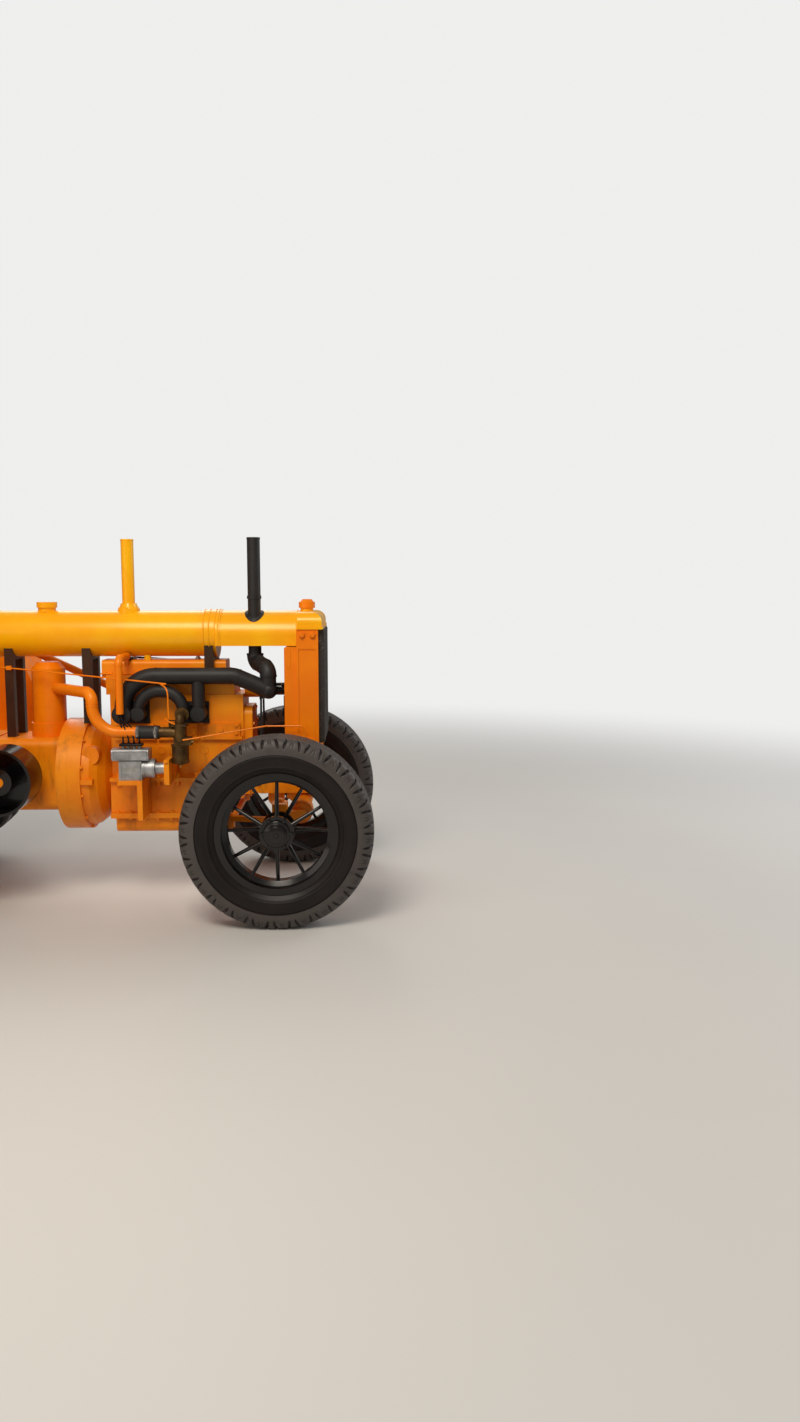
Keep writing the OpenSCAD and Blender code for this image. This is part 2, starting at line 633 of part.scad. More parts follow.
module front_bolster() color(orange) at_front() {
    x0 = -engine_front + seat_gap;
    inner = rail_y - 42;
    for (s = [-1, 1]) mirror([0, s > 0 ? 0 : 1, 0]) {
        box([x0, inner, rail_top - 100], [170, rail_y, rail_top]);
        box([x0, inner, rail_top - 100], [x0 + 30, rail_y + 14, rail_top - 20]);
    }
    // Cross casting that the radiator stands on
    box([rad_tank_x - 4, -190, rail_top - 1], [170, 190, rad_bottom - seat_gap]);
    // Lugs and pin of the front axle's pivot
    for (x = [beam_x - 58, beam_x + 29]) box([x, -inner - 1, beam_z + 33], [x + 29, inner + 1, rail_top]);
    x_bar(beam_x - 58, beam_x + 58, 0, beam_z + 61, kingpin_r);
    // Cup under the cross bar
    box([-84, -inner - 1, rail_top - 105], [-20, inner + 1, rail_top - 80]);
    translate([-52, 0, 448]) {
        cylinder(h = 60, r = 40);
        sphere(r = 40);
    }
}
module front_axle() color(orange) at_front() {
    y_bar(beam_x, beam_z, -beam_half, beam_half, beam_r);
    difference() {
        union() {
            box([beam_x - 26, -42, beam_z], [beam_x + 26, 42, beam_z + 95]);
            for (s = [-1, 1]) mirror([0, s > 0 ? 0 : 1, 0]) {
                y_bar(beam_x, beam_z, beam_half - 90, beam_half - 12, beam_r + 15);
                translate([0, kingpin_y, beam_z - 58]) cylinder(h = 90, r = kingpin_r + 14);
                translate([0, 0, beam_z - 34]) linear_extrude(48) polygon([[beam_x + 20, beam_half - 90],
                    [beam_x + 44, beam_half - 14], [8, kingpin_y + 30], [-20, kingpin_y - 24],
                    [beam_x - 40, beam_half - 90]]);
            }
        }
        x_bar(beam_x - 60, beam_x + 60, 0, beam_z + 61, kingpin_r + run_fit);
        for (s = [-1, 1]) translate([0, s * kingpin_y, beam_z - 100])
            cylinder(h = 200, r = kingpin_r + run_fit);
    }
}
// Steering knuckle on the left; the right one is its mirror image
module knuckle() {
    z0 = beam_z - 58;
    z1 = beam_z + 32;
    arm = 26;
    web = kingpin_y + kingpin_r + 18;
    translate([0, kingpin_y, z0 - arm - 2]) cylinder(h = z1 - z0 + 2 * arm + 4, r = kingpin_r);
    for (z = [z0 - arm - 2, z1 + 2]) {
        translate([0, kingpin_y, z]) cylinder(h = arm, r = kingpin_r + 14);
        box([-kingpin_r - 12, kingpin_y, z], [kingpin_r + 12, web + 26, z + arm]);
    }
    box([-kingpin_r - 12, web, z0 - arm - 2], [kingpin_r + 12, web + 26, z1 + arm + 2]);
    y_bar(0, front_tyre_r, web + 10, front_track / 2 - front_hub_half - 14, stub_r + 14);
    y_bar(0, front_tyre_r, web + 10, front_track / 2 + front_hub_half + 12, stub_r);
    // Steering arm back to the tie rod
    translate([0, 0, steer_arm_z - 11]) linear_extrude(22) polygon([[-20, web + 22], [-20, web - 2],
        [-steer_arm - 8, kingpin_y - 16], [-steer_arm - 8, kingpin_y + 16]]);
    translate([-steer_arm, kingpin_y, steer_arm_z - 11]) cylinder(h = 22, r = 22);
    translate([-steer_arm, kingpin_y, tie_rod_z - 22]) cylinder(h = steer_arm_z - tie_rod_z + 22, r = 10);
}
module knuckle_left() color(orange) at_front() knuckle();
module knuckle_right() color(orange) at_front() mirror([0, 1, 0]) knuckle();
module tie_rod() color(orange) at_front() {
    eyes = [[kingpin_y, 10], [-kingpin_y, 10], [steer_shaft_y, 9]];
    difference() {
        union() {
            y_bar(-steer_arm, tie_rod_z, -kingpin_y, kingpin_y, tie_rod_r);
            for (e = eyes) translate([-steer_arm, e[0], tie_rod_z - 14]) cylinder(h = 28, r = 23);
        }
        for (e = eyes) translate([-steer_arm, e[0], tie_rod_z - 40]) cylinder(h = 80, r = e[1] + run_fit);
    }
}
module pitman_arm() color(orange) at_front() {
    difference() {
        union() {
            translate([0, steer_shaft_y, pitman_z]) cylinder(h = 30, r = 30);
            translate([-steer_arm, steer_shaft_y, pitman_z]) cylinder(h = 22, r = 22);
            translate([0, steer_shaft_y, pitman_z]) linear_extrude(22)
                polygon([[0, -24], [0, 24], [-steer_arm, 18], [-steer_arm, -18]]);
        }
        translate([0, steer_shaft_y, pitman_z - 10]) cylinder(h = 60, r = sector_r + run_fit);
    }
    translate([-steer_arm, steer_shaft_y, tie_rod_z - 20]) cylinder(h = pitman_z - tie_rod_z + 21, r = 9);
}
module steering_column() color(orange) at_front() {
    y = steer_shaft_y;
    z = worm_z;
    // Gearbox on the left rail, with the shaft of the pitman arm
    soft_box([-62, rail_y + seat_gap, 520], [62, y + 50, 644], 20);
    translate([0, y, 500]) cylinder(h = 24, r = 34);
    translate([0, y, pitman_z - 4]) cylinder(h = 524 - pitman_z, r = sector_r);
    start = [column_start, y, z];
    rod(start, start + column_len * column_dir, 19);
    rod(start + column_len * column_dir * 0.99, start + (column_len + 70) * column_dir, 11);
    rod(start - 10 * column_dir, start + 40 * column_dir, 30);
    // Bracket from the rear cradle
    x = tank_back + 80;
    box([x - 14, 86 + seat_gap, column_height(x) - 22], [x + 14, y - 8, column_height(x) + 8]);
}
// Height of the steering column at a place along the tractor
function column_height(x) = worm_z + (column_start - x) * tan(column_tilt);
// Puts children at the steering wheel, with Z along the column
module at_wheel() {
    at_front() translate([column_start, steer_shaft_y, worm_z] + (column_len + 40) * column_dir)
        rotate([0, column_tilt - 90, 0]) children();
}
module steering_wheel() color(black) at_wheel() {
    r = steer_wheel_r - steer_rim_d / 2;
    rotate_extrude($fn = 96) translate([r, 0]) circle(r = steer_rim_d / 2, $fn = 24);
    difference() {
        union() {
            translate([0, 0, -38]) cylinder(h = 44, r = 30);
            translate([0, 0, 5]) cylinder(h = 34, r = 16);
            for (a = [45:90:315]) rotate([0, 0, a]) rod([18, 0, -26], [r - 2, 0, 0], 7);
        }
        translate([0, 0, -60]) cylinder(h = 92, r = 11 + run_fit);
    }
}
module fan() color(black) at_front() {
    difference() {
        union() {
            x_bar(belt_x, fan_x + 20, 0, fan_z, 30);
            x_bar(fan_x - 14, fan_x + 14, 0, fan_z, 44);
            x_bar(belt_x - 10, belt_x + 10, 0, fan_z, fan_pulley_r - 7);
            for (x = [belt_x - 10, belt_x + 5]) x_bar(x, x + 5, 0, fan_z, fan_pulley_r);
            for (i = [0:fan_blades - 1]) translate([fan_x, 0, fan_z]) rotate([i * 360 / fan_blades, 0, 0])
                rotate([0, 0, 30]) box([-1.5, -36, 30], [1.5, 36, fan_r - 3]);
        }
        x_bar(belt_x - 20, fan_x + 30, 0, fan_z, fan_shaft_r + run_fit);
    }
}
module foot_boards() color(orange) at_rear() {
    y0 = 154;
    y1 = skirt_y - seat_gap;
    for (s = [-1, 1]) mirror([0, s > 0 ? 0 : 1, 0]) {
        difference() {
            box([262, y0, board_z], [640, y1, board_z + 6]);
            // Slot that the pedal's arm passes through
            box([pedal_x - 50, pedal_y - 18, board_z - 1], [pedal_x + 20, pedal_y + 18, board_z + 7]);
        }
        for (x = [282, 580]) box([x, 150 + seat_gap, board_z - 40], [x + 40, y1, board_z + 1]);
    }
    box([hitch_x + platform_gap, -y1, board_z], [-266, y1, board_z + 6]);
    for (s = [-1, 1]) box([-300, s * 90 - 20, board_z - 60], [-262 - seat_gap, s * 90 + 20, board_z + 1]);
}
// Fender on the left: curved sheet with a skirt on its inner side
module fender() {
    first = -6;
    sweep = 150;
    translate([0, skirt_y, rear_tyre_r]) rotate([-90, 0, 0]) rotate([0, 0, -first]) rotate([180, 0, 0]) {
        rotate_extrude(angle = sweep, $fn = 96) translate([fender_r, -fender_w]) square([sheet_t, fender_w]);
        rotate_extrude(angle = sweep, $fn = 96) translate([300, -sheet_t]) square([fender_r - 299, sheet_t]);
    }
}
module fender_left() color(orange) at_rear() fender();
module fender_right() color(orange) at_rear() mirror([0, 1, 0]) fender();
module seat() color(black) at_rear() {
    r = seat_w / 2;
    translate([-150, 0, seat_z - 75]) rotate_extrude($fn = 64)
        polygon([[0, 0], [r * 0.55, 4], [r * 0.86, 34], [r, 72], [r - 4, 75], [r * 0.84, 38],
            [r * 0.54, 8], [0, 4]]);
}
module seat_support() color(black) at_rear() {
    z0 = seat_foot_z + seat_gap;
    z1 = seat_z - 75 - seat_gap;
    r = (z1 - z0) / 2;
    for (z = [z0, z1 - 12]) box([-200, -35, z], [z == z0 ? 130 : -100, 35, z + 12]);
    translate([-200, 0, z0 + r]) rotate([90, 0, 0]) difference() {
        cylinder(h = 70, r = r, center = true);
        cylinder(h = 72, r = r - 12, center = true);
        translate([0, -r - 1, -40]) cube([r + 2, 2 * r + 2, 80]);
    }
}
module drawbar() color(orange) at_rear() {
    difference() {
        union() {
            box([hitch_x, -45, drawbar_z - 15], [55, 45, drawbar_z + 15]);
            box([-80, -70, drawbar_z + 14], [55, 70, rear_tyre_r - 240 - seat_gap]);
            translate([hitch_x, 0, drawbar_z - 15]) cylinder(h = 30, r = 45);
        }
        y_bar(0, rear_tyre_r, -200, 200, 240 + seat_gap);
        translate([hitch_x, 0, drawbar_z - 40]) cylinder(h = 80, r = drawbar_hole_r);
    }
}
lever_x = 590;
lever_top = [530, -20, 1040];
module pedals() color(black) at_rear() {
    for (s = [-1, 1]) mirror([0, s > 0 ? 0 : 1, 0]) {
        y_bar(pedal_x, 600, 150 + seat_gap, pedal_y + 10, 16);
        rod([pedal_x, pedal_y, 600], [pedal_x - 30, pedal_y, 800], 9);
        box([pedal_x - 58, pedal_y - 50, 800], [pedal_x - 8, pedal_y + 50, 808]);
    }
    translate([lever_x, 0, gearbox_top + seat_gap]) cylinder(h = 30, r = 45);
    rod([lever_x, 0, gearbox_top + 20], lever_top, 9);
    translate(lever_top + [0, 0, 6]) sphere(r = 22);
}
// Front tyre and wheel at the middle of the left wheel
module front_tyre() color(rubber) wheel_turned(tyre_facets)
    tyre_section(front_tyre_r, front_tyre_w, front_rim_r, front_rim_w, 22, front_tyre_w * 0.9);
module front_wheel() color(black) {
    spoked_wheel(front_rim_r, front_rim_w, 6, 22, front_hub_r, front_hub_half, stub_r + run_fit, front_spokes, front_spoke_d);
    // Grease cap over the end of the stub axle
    y_bar(0, 0, front_hub_half + 14, front_hub_half + 28, front_hub_r * 0.72);
    y_bar(0, 0, front_hub_half + 27, front_hub_half + 46, front_hub_r * 0.5);
    difference() {
        y_bar(0, 0, front_hub_half, front_hub_half + 15, front_hub_r * 0.72);
        y_bar(0, 0, front_hub_half - 1, front_hub_half + 14, stub_r + run_fit);
    }
}
module rear_tyre() color(rubber) {
    tread_w = rear_tyre_w * 0.88;
    wheel_turned(tyre_facets) tyre_section(rear_tyre_r - lug_h, rear_tyre_w, rear_rim_r, rear_rim_w, 30, tread_w);
    // Two rows of slanted lugs, each cut to the tyre's outer radius
    intersection() {
        y_bar(0, 0, -tread_w / 2, tread_w / 2, rear_tyre_r, tyre_facets);
        for (s = [-1, 1], i = [0:lug_count - 1])
            rotate([0, (i + (s > 0 ? 0 : 0.5)) * 360 / lug_count, 0])
                translate([0, s * tread_w / 4, rear_tyre_r - lug_h - 12]) rotate([0, 0, s * lug_slant])
                    translate([-lug_w / 2, -tread_w * 0.42, 0]) cube([lug_w, tread_w * 0.84, lug_h * 2]);
    }
}
module rear_wheel() color(black)
    spoked_wheel(rear_rim_r, rear_rim_w, 9, 30, rear_hub_r, rear_hub_half, rear_shaft_r + run_fit, rear_spokes, rear_spoke_d);
module at_wheel_place(x, track, side, r) {
    translate([x, side * track / 2, r]) mirror([0, side > 0 ? 0 : 1, 0]) children();
}
module front_tyre_right() at_wheel_place(front_x, front_track, RIGHT, front_tyre_r) front_tyre();
module front_wheel_right() at_wheel_place(front_x, front_track, RIGHT, front_tyre_r) front_wheel();
module front_tyre_left() at_wheel_place(front_x, front_track, LEFT, front_tyre_r) front_tyre();
module front_wheel_left() at_wheel_place(front_x, front_track, LEFT, front_tyre_r) front_wheel();
module rear_tyre_right() at_wheel_place(rear_x, rear_track, RIGHT, rear_tyre_r) rear_tyre();
module rear_wheel_right() at_wheel_place(rear_x, rear_track, RIGHT, rear_tyre_r) rear_wheel();
module rear_tyre_left() at_wheel_place(rear_x, rear_track, LEFT, rear_tyre_r) rear_tyre();
module rear_wheel_left() at_wheel_place(rear_x, rear_track, LEFT, rear_tyre_r) rear_wheel();
module belt_pulley() color(black) {
    y0 = -pulley_y - 6 - pulley_w;
    difference() {
        union() {
            y_bar(pulley_at[0], pulley_at[1], y0, y0 + pulley_w, pulley_r);
            y_bar(pulley_at[0], pulley_at[1], y0 + 20, y0 + pulley_w, 60);
        }
        difference() {
            y_bar(pulley_at[0], pulley_at[1], y0 - 1, y0 + pulley_w - 16, pulley_r - 12);
            y_bar(pulley_at[0], pulley_at[1], y0 + 20, y0 + pulley_w, 60);
        }
        y_bar(pulley_at[0], pulley_at[1], y0 - 10, y0 + pulley_w + 10, pulley_shaft_r + run_fit);
    }
}
engine_block();
oil_pan();
cylinder_head();
exhaust_manifold();
exhaust_pipe();
intake_tube();
intake_hose();
carburettor();
magneto();
wire_tube();
clutch_housing();
transmission_case();
axle_housings();
fuel_tank();
tank_cradles();
front_hood();
intake_stack();
air_cleaner();
radiator_core();
radiator_tank();
filler_cap();
radiator_frame();
front_bolster();
front_axle();
steering_column();
foot_boards();
fender_right();
fender_left();
seat();
seat_support();
drawbar();
pedals();
knuckle_right();
knuckle_left();
front_tyre_right();
front_wheel_right();
front_tyre_left();
front_wheel_left();
rear_tyre_right();
rear_wheel_right();
rear_tyre_left();
rear_wheel_left();
tie_rod();
pitman_arm();
steering_wheel();
fan();
belt_pulley();
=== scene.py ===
import math

import bmesh
import bpy
import numpy as np
from mathutils import Matrix, Vector


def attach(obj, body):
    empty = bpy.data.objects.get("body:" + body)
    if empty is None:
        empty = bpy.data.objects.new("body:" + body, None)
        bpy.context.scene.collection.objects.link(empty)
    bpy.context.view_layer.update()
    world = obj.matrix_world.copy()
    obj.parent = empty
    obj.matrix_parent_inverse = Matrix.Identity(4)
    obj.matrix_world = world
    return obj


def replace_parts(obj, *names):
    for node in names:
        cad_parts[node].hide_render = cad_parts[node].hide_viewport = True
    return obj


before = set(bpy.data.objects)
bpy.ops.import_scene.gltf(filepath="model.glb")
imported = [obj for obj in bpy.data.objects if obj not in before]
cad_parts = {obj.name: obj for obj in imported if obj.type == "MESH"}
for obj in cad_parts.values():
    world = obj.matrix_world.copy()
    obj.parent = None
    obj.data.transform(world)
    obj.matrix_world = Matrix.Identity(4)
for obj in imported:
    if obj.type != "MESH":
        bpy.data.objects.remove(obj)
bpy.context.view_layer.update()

print("tractor: frame loaded,", len(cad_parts), "nodes")
mm = 0.001
frontAxle, rearAxle = 1.1525, -0.8875  # metres along the frame
# Sizes of pieces are in millimetres, those of shaders, camera and lamps in metres
frontHalfTrack, frontRadius = 550, 415
rearHalfTrack, rearRadius = 700, 680
boardTop = 706
sides = (("right", -1), ("left", 1))
root = "chassis"


def front(x, y, z):  # from the front axle's place on the floor
    return Vector((frontAxle + x * mm, y * mm, z * mm))


def rear(x, y, z):  # the same from the rear axle
    return Vector((rearAxle + x * mm, y * mm, z * mm))


# Shader maths
class Signal:
    def __init__(self, paint, socket):
        self.paint, self.socket = paint, socket

    def maths(self, operation, *others, flipped=False):
        pair = [self, *others]
        if flipped:
            pair.reverse()
        return self.paint.node("ShaderNodeMath", {"operation": operation}, dict(enumerate(pair)))

    def __add__(self, other): return self.maths("ADD", other)
    def __sub__(self, other): return self.maths("SUBTRACT", other)
    def __rsub__(self, other): return self.maths("SUBTRACT", other, flipped=True)
    def __mul__(self, other): return self.maths("MULTIPLY", other)
    def __truediv__(self, other): return self.maths("DIVIDE", other)
    def __pow__(self, other): return self.maths("POWER", other)
    __radd__, __rmul__ = __add__, __mul__

    def between(self, low, high):  # 0 below low, 1 above high, smooth in the middle
        return self.paint.node("ShaderNodeMapRange", {"interpolation_type": "SMOOTHSTEP"},
                               {"Value": self, "From Min": low, "From Max": high})


class Paint:
    def __init__(self, name, slot):
        self.material = bpy.data.materials.new(name)
        self.material.use_nodes = True
        self.slot = slot
        self.tree = self.material.node_tree
        self.tree.nodes.clear()
        self.place = self.node("ShaderNodeTexCoord", out="Object")
        self.facing = Signal(self, self.place.socket.node.outputs["Normal"])

    def node(self, kind, settings=None, sockets=None, out=0):
        node = self.tree.nodes.new(kind)
        for key, value in (settings or {}).items():
            setattr(node, key, value)
        for key, value in (sockets or {}).items():
            if isinstance(value, Signal):
                self.tree.links.new(value.socket, node.inputs[key])
            else:
                node.inputs[key].default_value = value
        return Signal(self, node.outputs[out] if node.outputs else None)

    def noise(self, scale, detail=3.0, roughness=0.55, stretch=(1, 1, 1)):
        spot = self.node("ShaderNodeMapping", None, {"Vector": self.place, "Scale": stretch})
        return self.node("ShaderNodeTexNoise", None,
                         {"Vector": spot, "Scale": scale, "Detail": detail, "Roughness": roughness})

    def cells(self, scale):
        spot = self.node("ShaderNodeMapping", None, {"Vector": self.place})
        return self.node("ShaderNodeTexVoronoi", None, {"Vector": spot, "Scale": scale}, "Color")

    def part(self, vector, axis):
        return self.node("ShaderNodeSeparateXYZ", None, {0: vector}, out=axis)

    def blend(self, amount, first, second):
        first, second = [value if isinstance(value, Signal) else (*value, 1) for value in (first, second)]
        return self.node("ShaderNodeMix", {"data_type": "RGBA"}, {0: amount, 6: first, 7: second}, out=2)

    def bump(self, height, strength, distance=0.001, normal=None):
        sockets = {"Height": height, "Strength": strength, "Distance": distance}
        if normal:
            sockets["Normal"] = normal
        return self.node("ShaderNodeBump", None, sockets)

    def surface(self, **sockets):
        return self.node("ShaderNodeBsdfPrincipled", None, {
            key.replace("_", " "): (*value, 1) if isinstance(value, tuple) else value
            for key, value in sockets.items()})

    def show(self, shader):
        self.node("ShaderNodeOutputMaterial", None, {"Surface": shader})
        return self

    def finish(self, **sockets):
        return self.show(self.surface(**sockets))


def rgb(*screen):  # red, green and blue of a screen, 0 to 255, as linear light
    return tuple(c / 255 / 12.92 if c < 11 else ((c / 255 + 0.055) / 1.055) ** 2.4 for c in screen)


def enamelPaint(name, slot, look):
    p = Paint(name, slot)
    up = p.part(p.facing, "Z")
    height = p.part(p.place, "Z")
    cloudy = p.noise(look["cloudScale"], 4, 0.6)
    colour = p.blend(cloudy.between(0.35, 0.7), look["shade"], look["colour"])
    # Dust settles on what faces up
    dust = up.between(0.55, 1.0) * p.noise(11, 5, 0.62).between(0.4, 0.72) * look["dust"]
    colour = p.blend(dust, colour, look["dustColour"])
    # Oily grime in streaks, mostly low on the castings
    streak = p.noise(9, 5, 0.6, (1.6, 1.6, 0.35)).between(0.52, 0.78)
    streak = streak * (1 - height.between(0.35, 1.25)) * look["grime"]
    colour = p.blend(streak, colour, look["grimeColour"])
    # Chips down to the rusty metal
    chip = p.noise(46, 6, 0.7).between(look["chipEdge"], look["chipEdge"] + 0.02)
    colour = p.blend(chip, colour, look["rust"])
    rough = look["roughness"] + cloudy * 0.1 + dust * 0.3 + streak * 0.12 + chip * 0.3
    grain = p.noise(look["grainScale"], 4, 0.6)
    normal = p.bump(grain, look["grain"], 0.0012)
    normal = p.bump(p.noise(7, 2), look["dents"], 0.004, normal)
    normal = p.bump(1 - chip, 0.25, 0.0004, normal)
    return p.finish(Base_Color=colour, Roughness=rough, Normal=normal, Coat_Weight=look["coat"],
                    Coat_Roughness=look["coatRoughness"], Specular_IOR_Level=look["shine"],
                    Specular_Tint=look["gleam"])


orangeLook = {
    "colour": rgb(246, 148, 7), "shade": rgb(240, 130, 4), "cloudScale": 5.5, "dust": 0.24,
    "dustColour": rgb(200, 142, 72), "grime": 0.75, "grimeColour": rgb(84, 40, 16), "chipEdge": 0.745,
    "rust": rgb(96, 44, 22), "roughness": 0.34, "grainScale": 330, "grain": 0.28, "dents": 0.12,
    "coat": 0.14, "coatRoughness": 0.3, "shine": 0.46, "gleam": (1.0, 0.8, 0.48)}
castings = enamelPaint("orange casting enamel", "orange_castings", orangeLook)
# The sheet parts use the castings' orange paint, made lighter and yellower here as a painted highlight of the
# light on their tops
sheetOrangeWithPaintedHighlight = enamelPaint("orange sheet enamel with painted highlight", "orange_sheet", orangeLook | {
    "colour": rgb(255, 188, 4), "shade": rgb(254, 174, 3), "dust": 0.08, "grime": 0.2, "chipEdge": 0.78,
    "roughness": 0.26, "grainScale": 140, "grain": 0.05, "dents": 0.1, "coat": 0.2, "coatRoughness": 0.16})
frameOrange = enamelPaint("orange pressed steel enamel", "orange_castings", orangeLook | {
    "colour": rgb(247, 136, 5), "shade": rgb(241, 122, 3), "dust": 0.05, "grime": 0.35, "chipEdge": 0.76,
    "roughness": 0.32, "grainScale": 160, "grain": 0.08, "coat": 0.1, "coatRoughness": 0.18})
wheelBlack = enamelPaint("gloss black wheel enamel", "black_paint", orangeLook | {
    "colour": rgb(19, 15, 15), "shade": rgb(12, 10, 10), "dust": 0.06, "dustColour": rgb(96, 84, 74),
    "grime": 0.25, "grimeColour": rgb(52, 42, 34), "chipEdge": 0.76, "rust": rgb(70, 38, 24),
    "roughness": 0.2, "grainScale": 190, "grain": 0.06, "dents": 0.05, "coat": 0.5, "coatRoughness": 0.1,
    "shine": 0.2, "gleam": (1.0, 1.0, 1.0)})
stoveBlack = enamelPaint("matt stove black", "black_stove", orangeLook | {
    "colour": rgb(30, 28, 29), "shade": rgb(20, 19, 20), "dust": 0.3, "dustColour": rgb(92, 84, 78),
    "grime": 0.3, "grimeColour": rgb(58, 38, 26), "chipEdge": 0.7, "rust": rgb(84, 46, 28),
    "roughness": 0.48, "grainScale": 420, "grain": 0.3, "dents": 0.05, "coat": 0.0, "gleam": (1.0, 1.0, 1.0)})
# The tank cradles' dark brown stands for the shade they sit in: painted shade
strutPaintedShadeBrown = enamelPaint("strut paint darkened as painted shade", "dark_struts", orangeLook | {
    "colour": rgb(58, 34, 26), "shade": rgb(40, 24, 20), "dust": 0.25, "dustColour": rgb(120, 88, 66),
    "roughness": 0.4, "grain": 0.2, "coat": 0.15})


def rubberPaint(name, slot, look):
    p = Paint(name, slot)
    patch = p.noise(6, 5, 0.62)
    colour = p.blend(patch.between(0.35, 0.75), look["colour"], look["worn"])
    if "treadWearAndHighlight" in look:  # grey band on the tread, partly road wear and partly painted highlight: in the grooves the section's curve stays low
        treadWearAndHighlight = look["treadWearAndHighlight"]
        along, up = p.part(p.place, "X") - treadWearAndHighlight["x"], p.part(p.place, "Z") - treadWearAndHighlight["z"]
        radius = (along * along + up * up) ** 0.5
        across = (p.part(p.place, "Y").maths("ABSOLUTE") - treadWearAndHighlight["y"]).maths("ABSOLUTE")
        wide, tall = across / treadWearAndHighlight["half"], (radius - treadWearAndHighlight["middle"]) / treadWearAndHighlight["tall"]
        curve = wide ** treadWearAndHighlight["square"] + tall ** treadWearAndHighlight["square"]
        # worn: the tread's grey band, partly road wear and partly painted highlight on the crown
        worn = curve.between(*treadWearAndHighlight["curve"]) * radius.between(treadWearAndHighlight["foot"] - 0.002, treadWearAndHighlight["foot"] + 0.002)
        worn = worn * p.noise(15, 5, 0.65).between(0.05, 0.5)
        colour = p.blend(worn * treadWearAndHighlight["amount"], colour, treadWearAndHighlight["colour"])
    scuff = p.noise(34, 6, 0.72).between(0.6, 0.75) * look["scuff"]
    colour = p.blend(scuff, colour, look["scuffColour"])
    normal = p.bump(p.noise(520, 3, 0.6), look["grain"], 0.0006)
    normal = p.bump(p.noise(24, 4), 0.12, 0.002, normal)
    rough = look["roughness"] + patch * 0.16 + scuff * 0.2
    return p.finish(Base_Color=colour, Roughness=rough, Normal=normal, Specular_IOR_Level=look["shine"])


tyreLook = {"colour": rgb(19, 13, 13), "worn": rgb(28, 22, 21), "scuff": 0.25, "scuffColour": rgb(70, 62, 57),
            "grain": 0.25, "roughness": 0.36, "shine": 0.28}
# The tread face's rounded section, whose grey is partly road wear and partly painted highlight: half its
# width, its middle's radius and half its height
frontTreadWearAndHighlight = {"x": frontAxle, "y": frontHalfTrack * mm, "z": frontRadius * mm, "half": 0.101, "middle": 0.334,
             "tall": 0.081, "square": 4.0, "curve": (0.86, 0.94), "foot": 0.345, "amount": 1.0,
             "colour": rgb(74, 69, 67)}
rearTreadWearAndHighlight = frontTreadWearAndHighlight | {"x": rearAxle, "y": rearHalfTrack * mm, "z": rearRadius * mm, "half": 0.172,
                        "middle": 0.5, "tall": 0.18, "curve": (0.4, 0.5), "foot": 0.664, "amount": 0.7}
tyreRubber = rubberPaint("tyre rubber", "tyre", tyreLook | {"treadWearAndHighlight": frontTreadWearAndHighlight})
lugRubber = rubberPaint("rear tyre rubber", "tyre", tyreLook | {"treadWearAndHighlight": rearTreadWearAndHighlight})
hoseRubber = rubberPaint("hose rubber", "hose", tyreLook | {
    "colour": rgb(34, 33, 34), "worn": rgb(54, 53, 54), "roughness": 0.46, "grain": 0.5})
leadRubber = rubberPaint("ignition lead rubber", "hose", tyreLook | {"worn": rgb(30, 28, 30)})


def metalPaint(name, slot, look):
    p = Paint(name, slot)
    patch = p.noise(look["patchScale"], 5, 0.62)
    colour = p.blend(patch.between(0.3, 0.72), look["colour"], look["tarnish"])
    stain = p.noise(26, 6, 0.7, (1, 1, 0.5)).between(0.56, 0.74) * look["stain"]
    colour = p.blend(stain, colour, look["stainColour"])
    normal = p.bump(p.noise(look["grainScale"], 4, 0.65), look["grain"], 0.0008)
    rough = look["roughness"] + patch * 0.2 + stain * 0.25
    return p.finish(Base_Color=colour, Roughness=rough, Normal=normal, Metallic=look["metal"])


alloyLook = {"colour": rgb(186, 188, 190), "tarnish": rgb(142, 143, 144), "patchScale": 18, "stain": 0.5,
             "stainColour": rgb(92, 84, 76), "grain": 0.35, "grainScale": 480, "roughness": 0.34,
             "metal": 0.75}
magnetoAlloy = metalPaint("cast magneto alloy", "magneto_alloy", alloyLook)
plated = metalPaint("plated steel", "magneto_alloy", alloyLook | {
    "colour": rgb(208, 208, 206), "tarnish": rgb(160, 158, 152), "grain": 0.06, "roughness": 0.18,
    "metal": 1.0})
bronze = metalPaint("dull carburettor bronze", "carburettor_bronze", alloyLook | {
    "colour": rgb(112, 86, 44), "tarnish": rgb(64, 44, 24), "stainColour": rgb(30, 20, 12), "stain": 0.8,
    "roughness": 0.38, "metal": 0.7})
brass = metalPaint("brass fitting", "carburettor_bronze", alloyLook | {
    "colour": rgb(198, 156, 82), "tarnish": rgb(146, 108, 52), "stainColour": rgb(84, 60, 30),
    "grain": 0.08, "roughness": 0.24, "metal": 1.0})


def corePaint():
    p = Paint("radiator core black", "radiator_core")
    speck = p.cells(210)
    worn = p.part(speck, "Z").between(0.9, 0.98) * p.noise(18, 4).between(0.42, 0.6) * 0.6
    colour = p.blend(p.noise(22, 5, 0.65), rgb(26, 24, 24), rgb(58, 52, 48))
    colour = p.blend(worn, colour, rgb(128, 120, 110))
    normal = p.bump(p.noise(300, 3), 0.3, 0.0008)
    return p.finish(Base_Color=colour, Roughness=0.42 + worn * 0.2, Normal=normal)


coreBlack = corePaint()

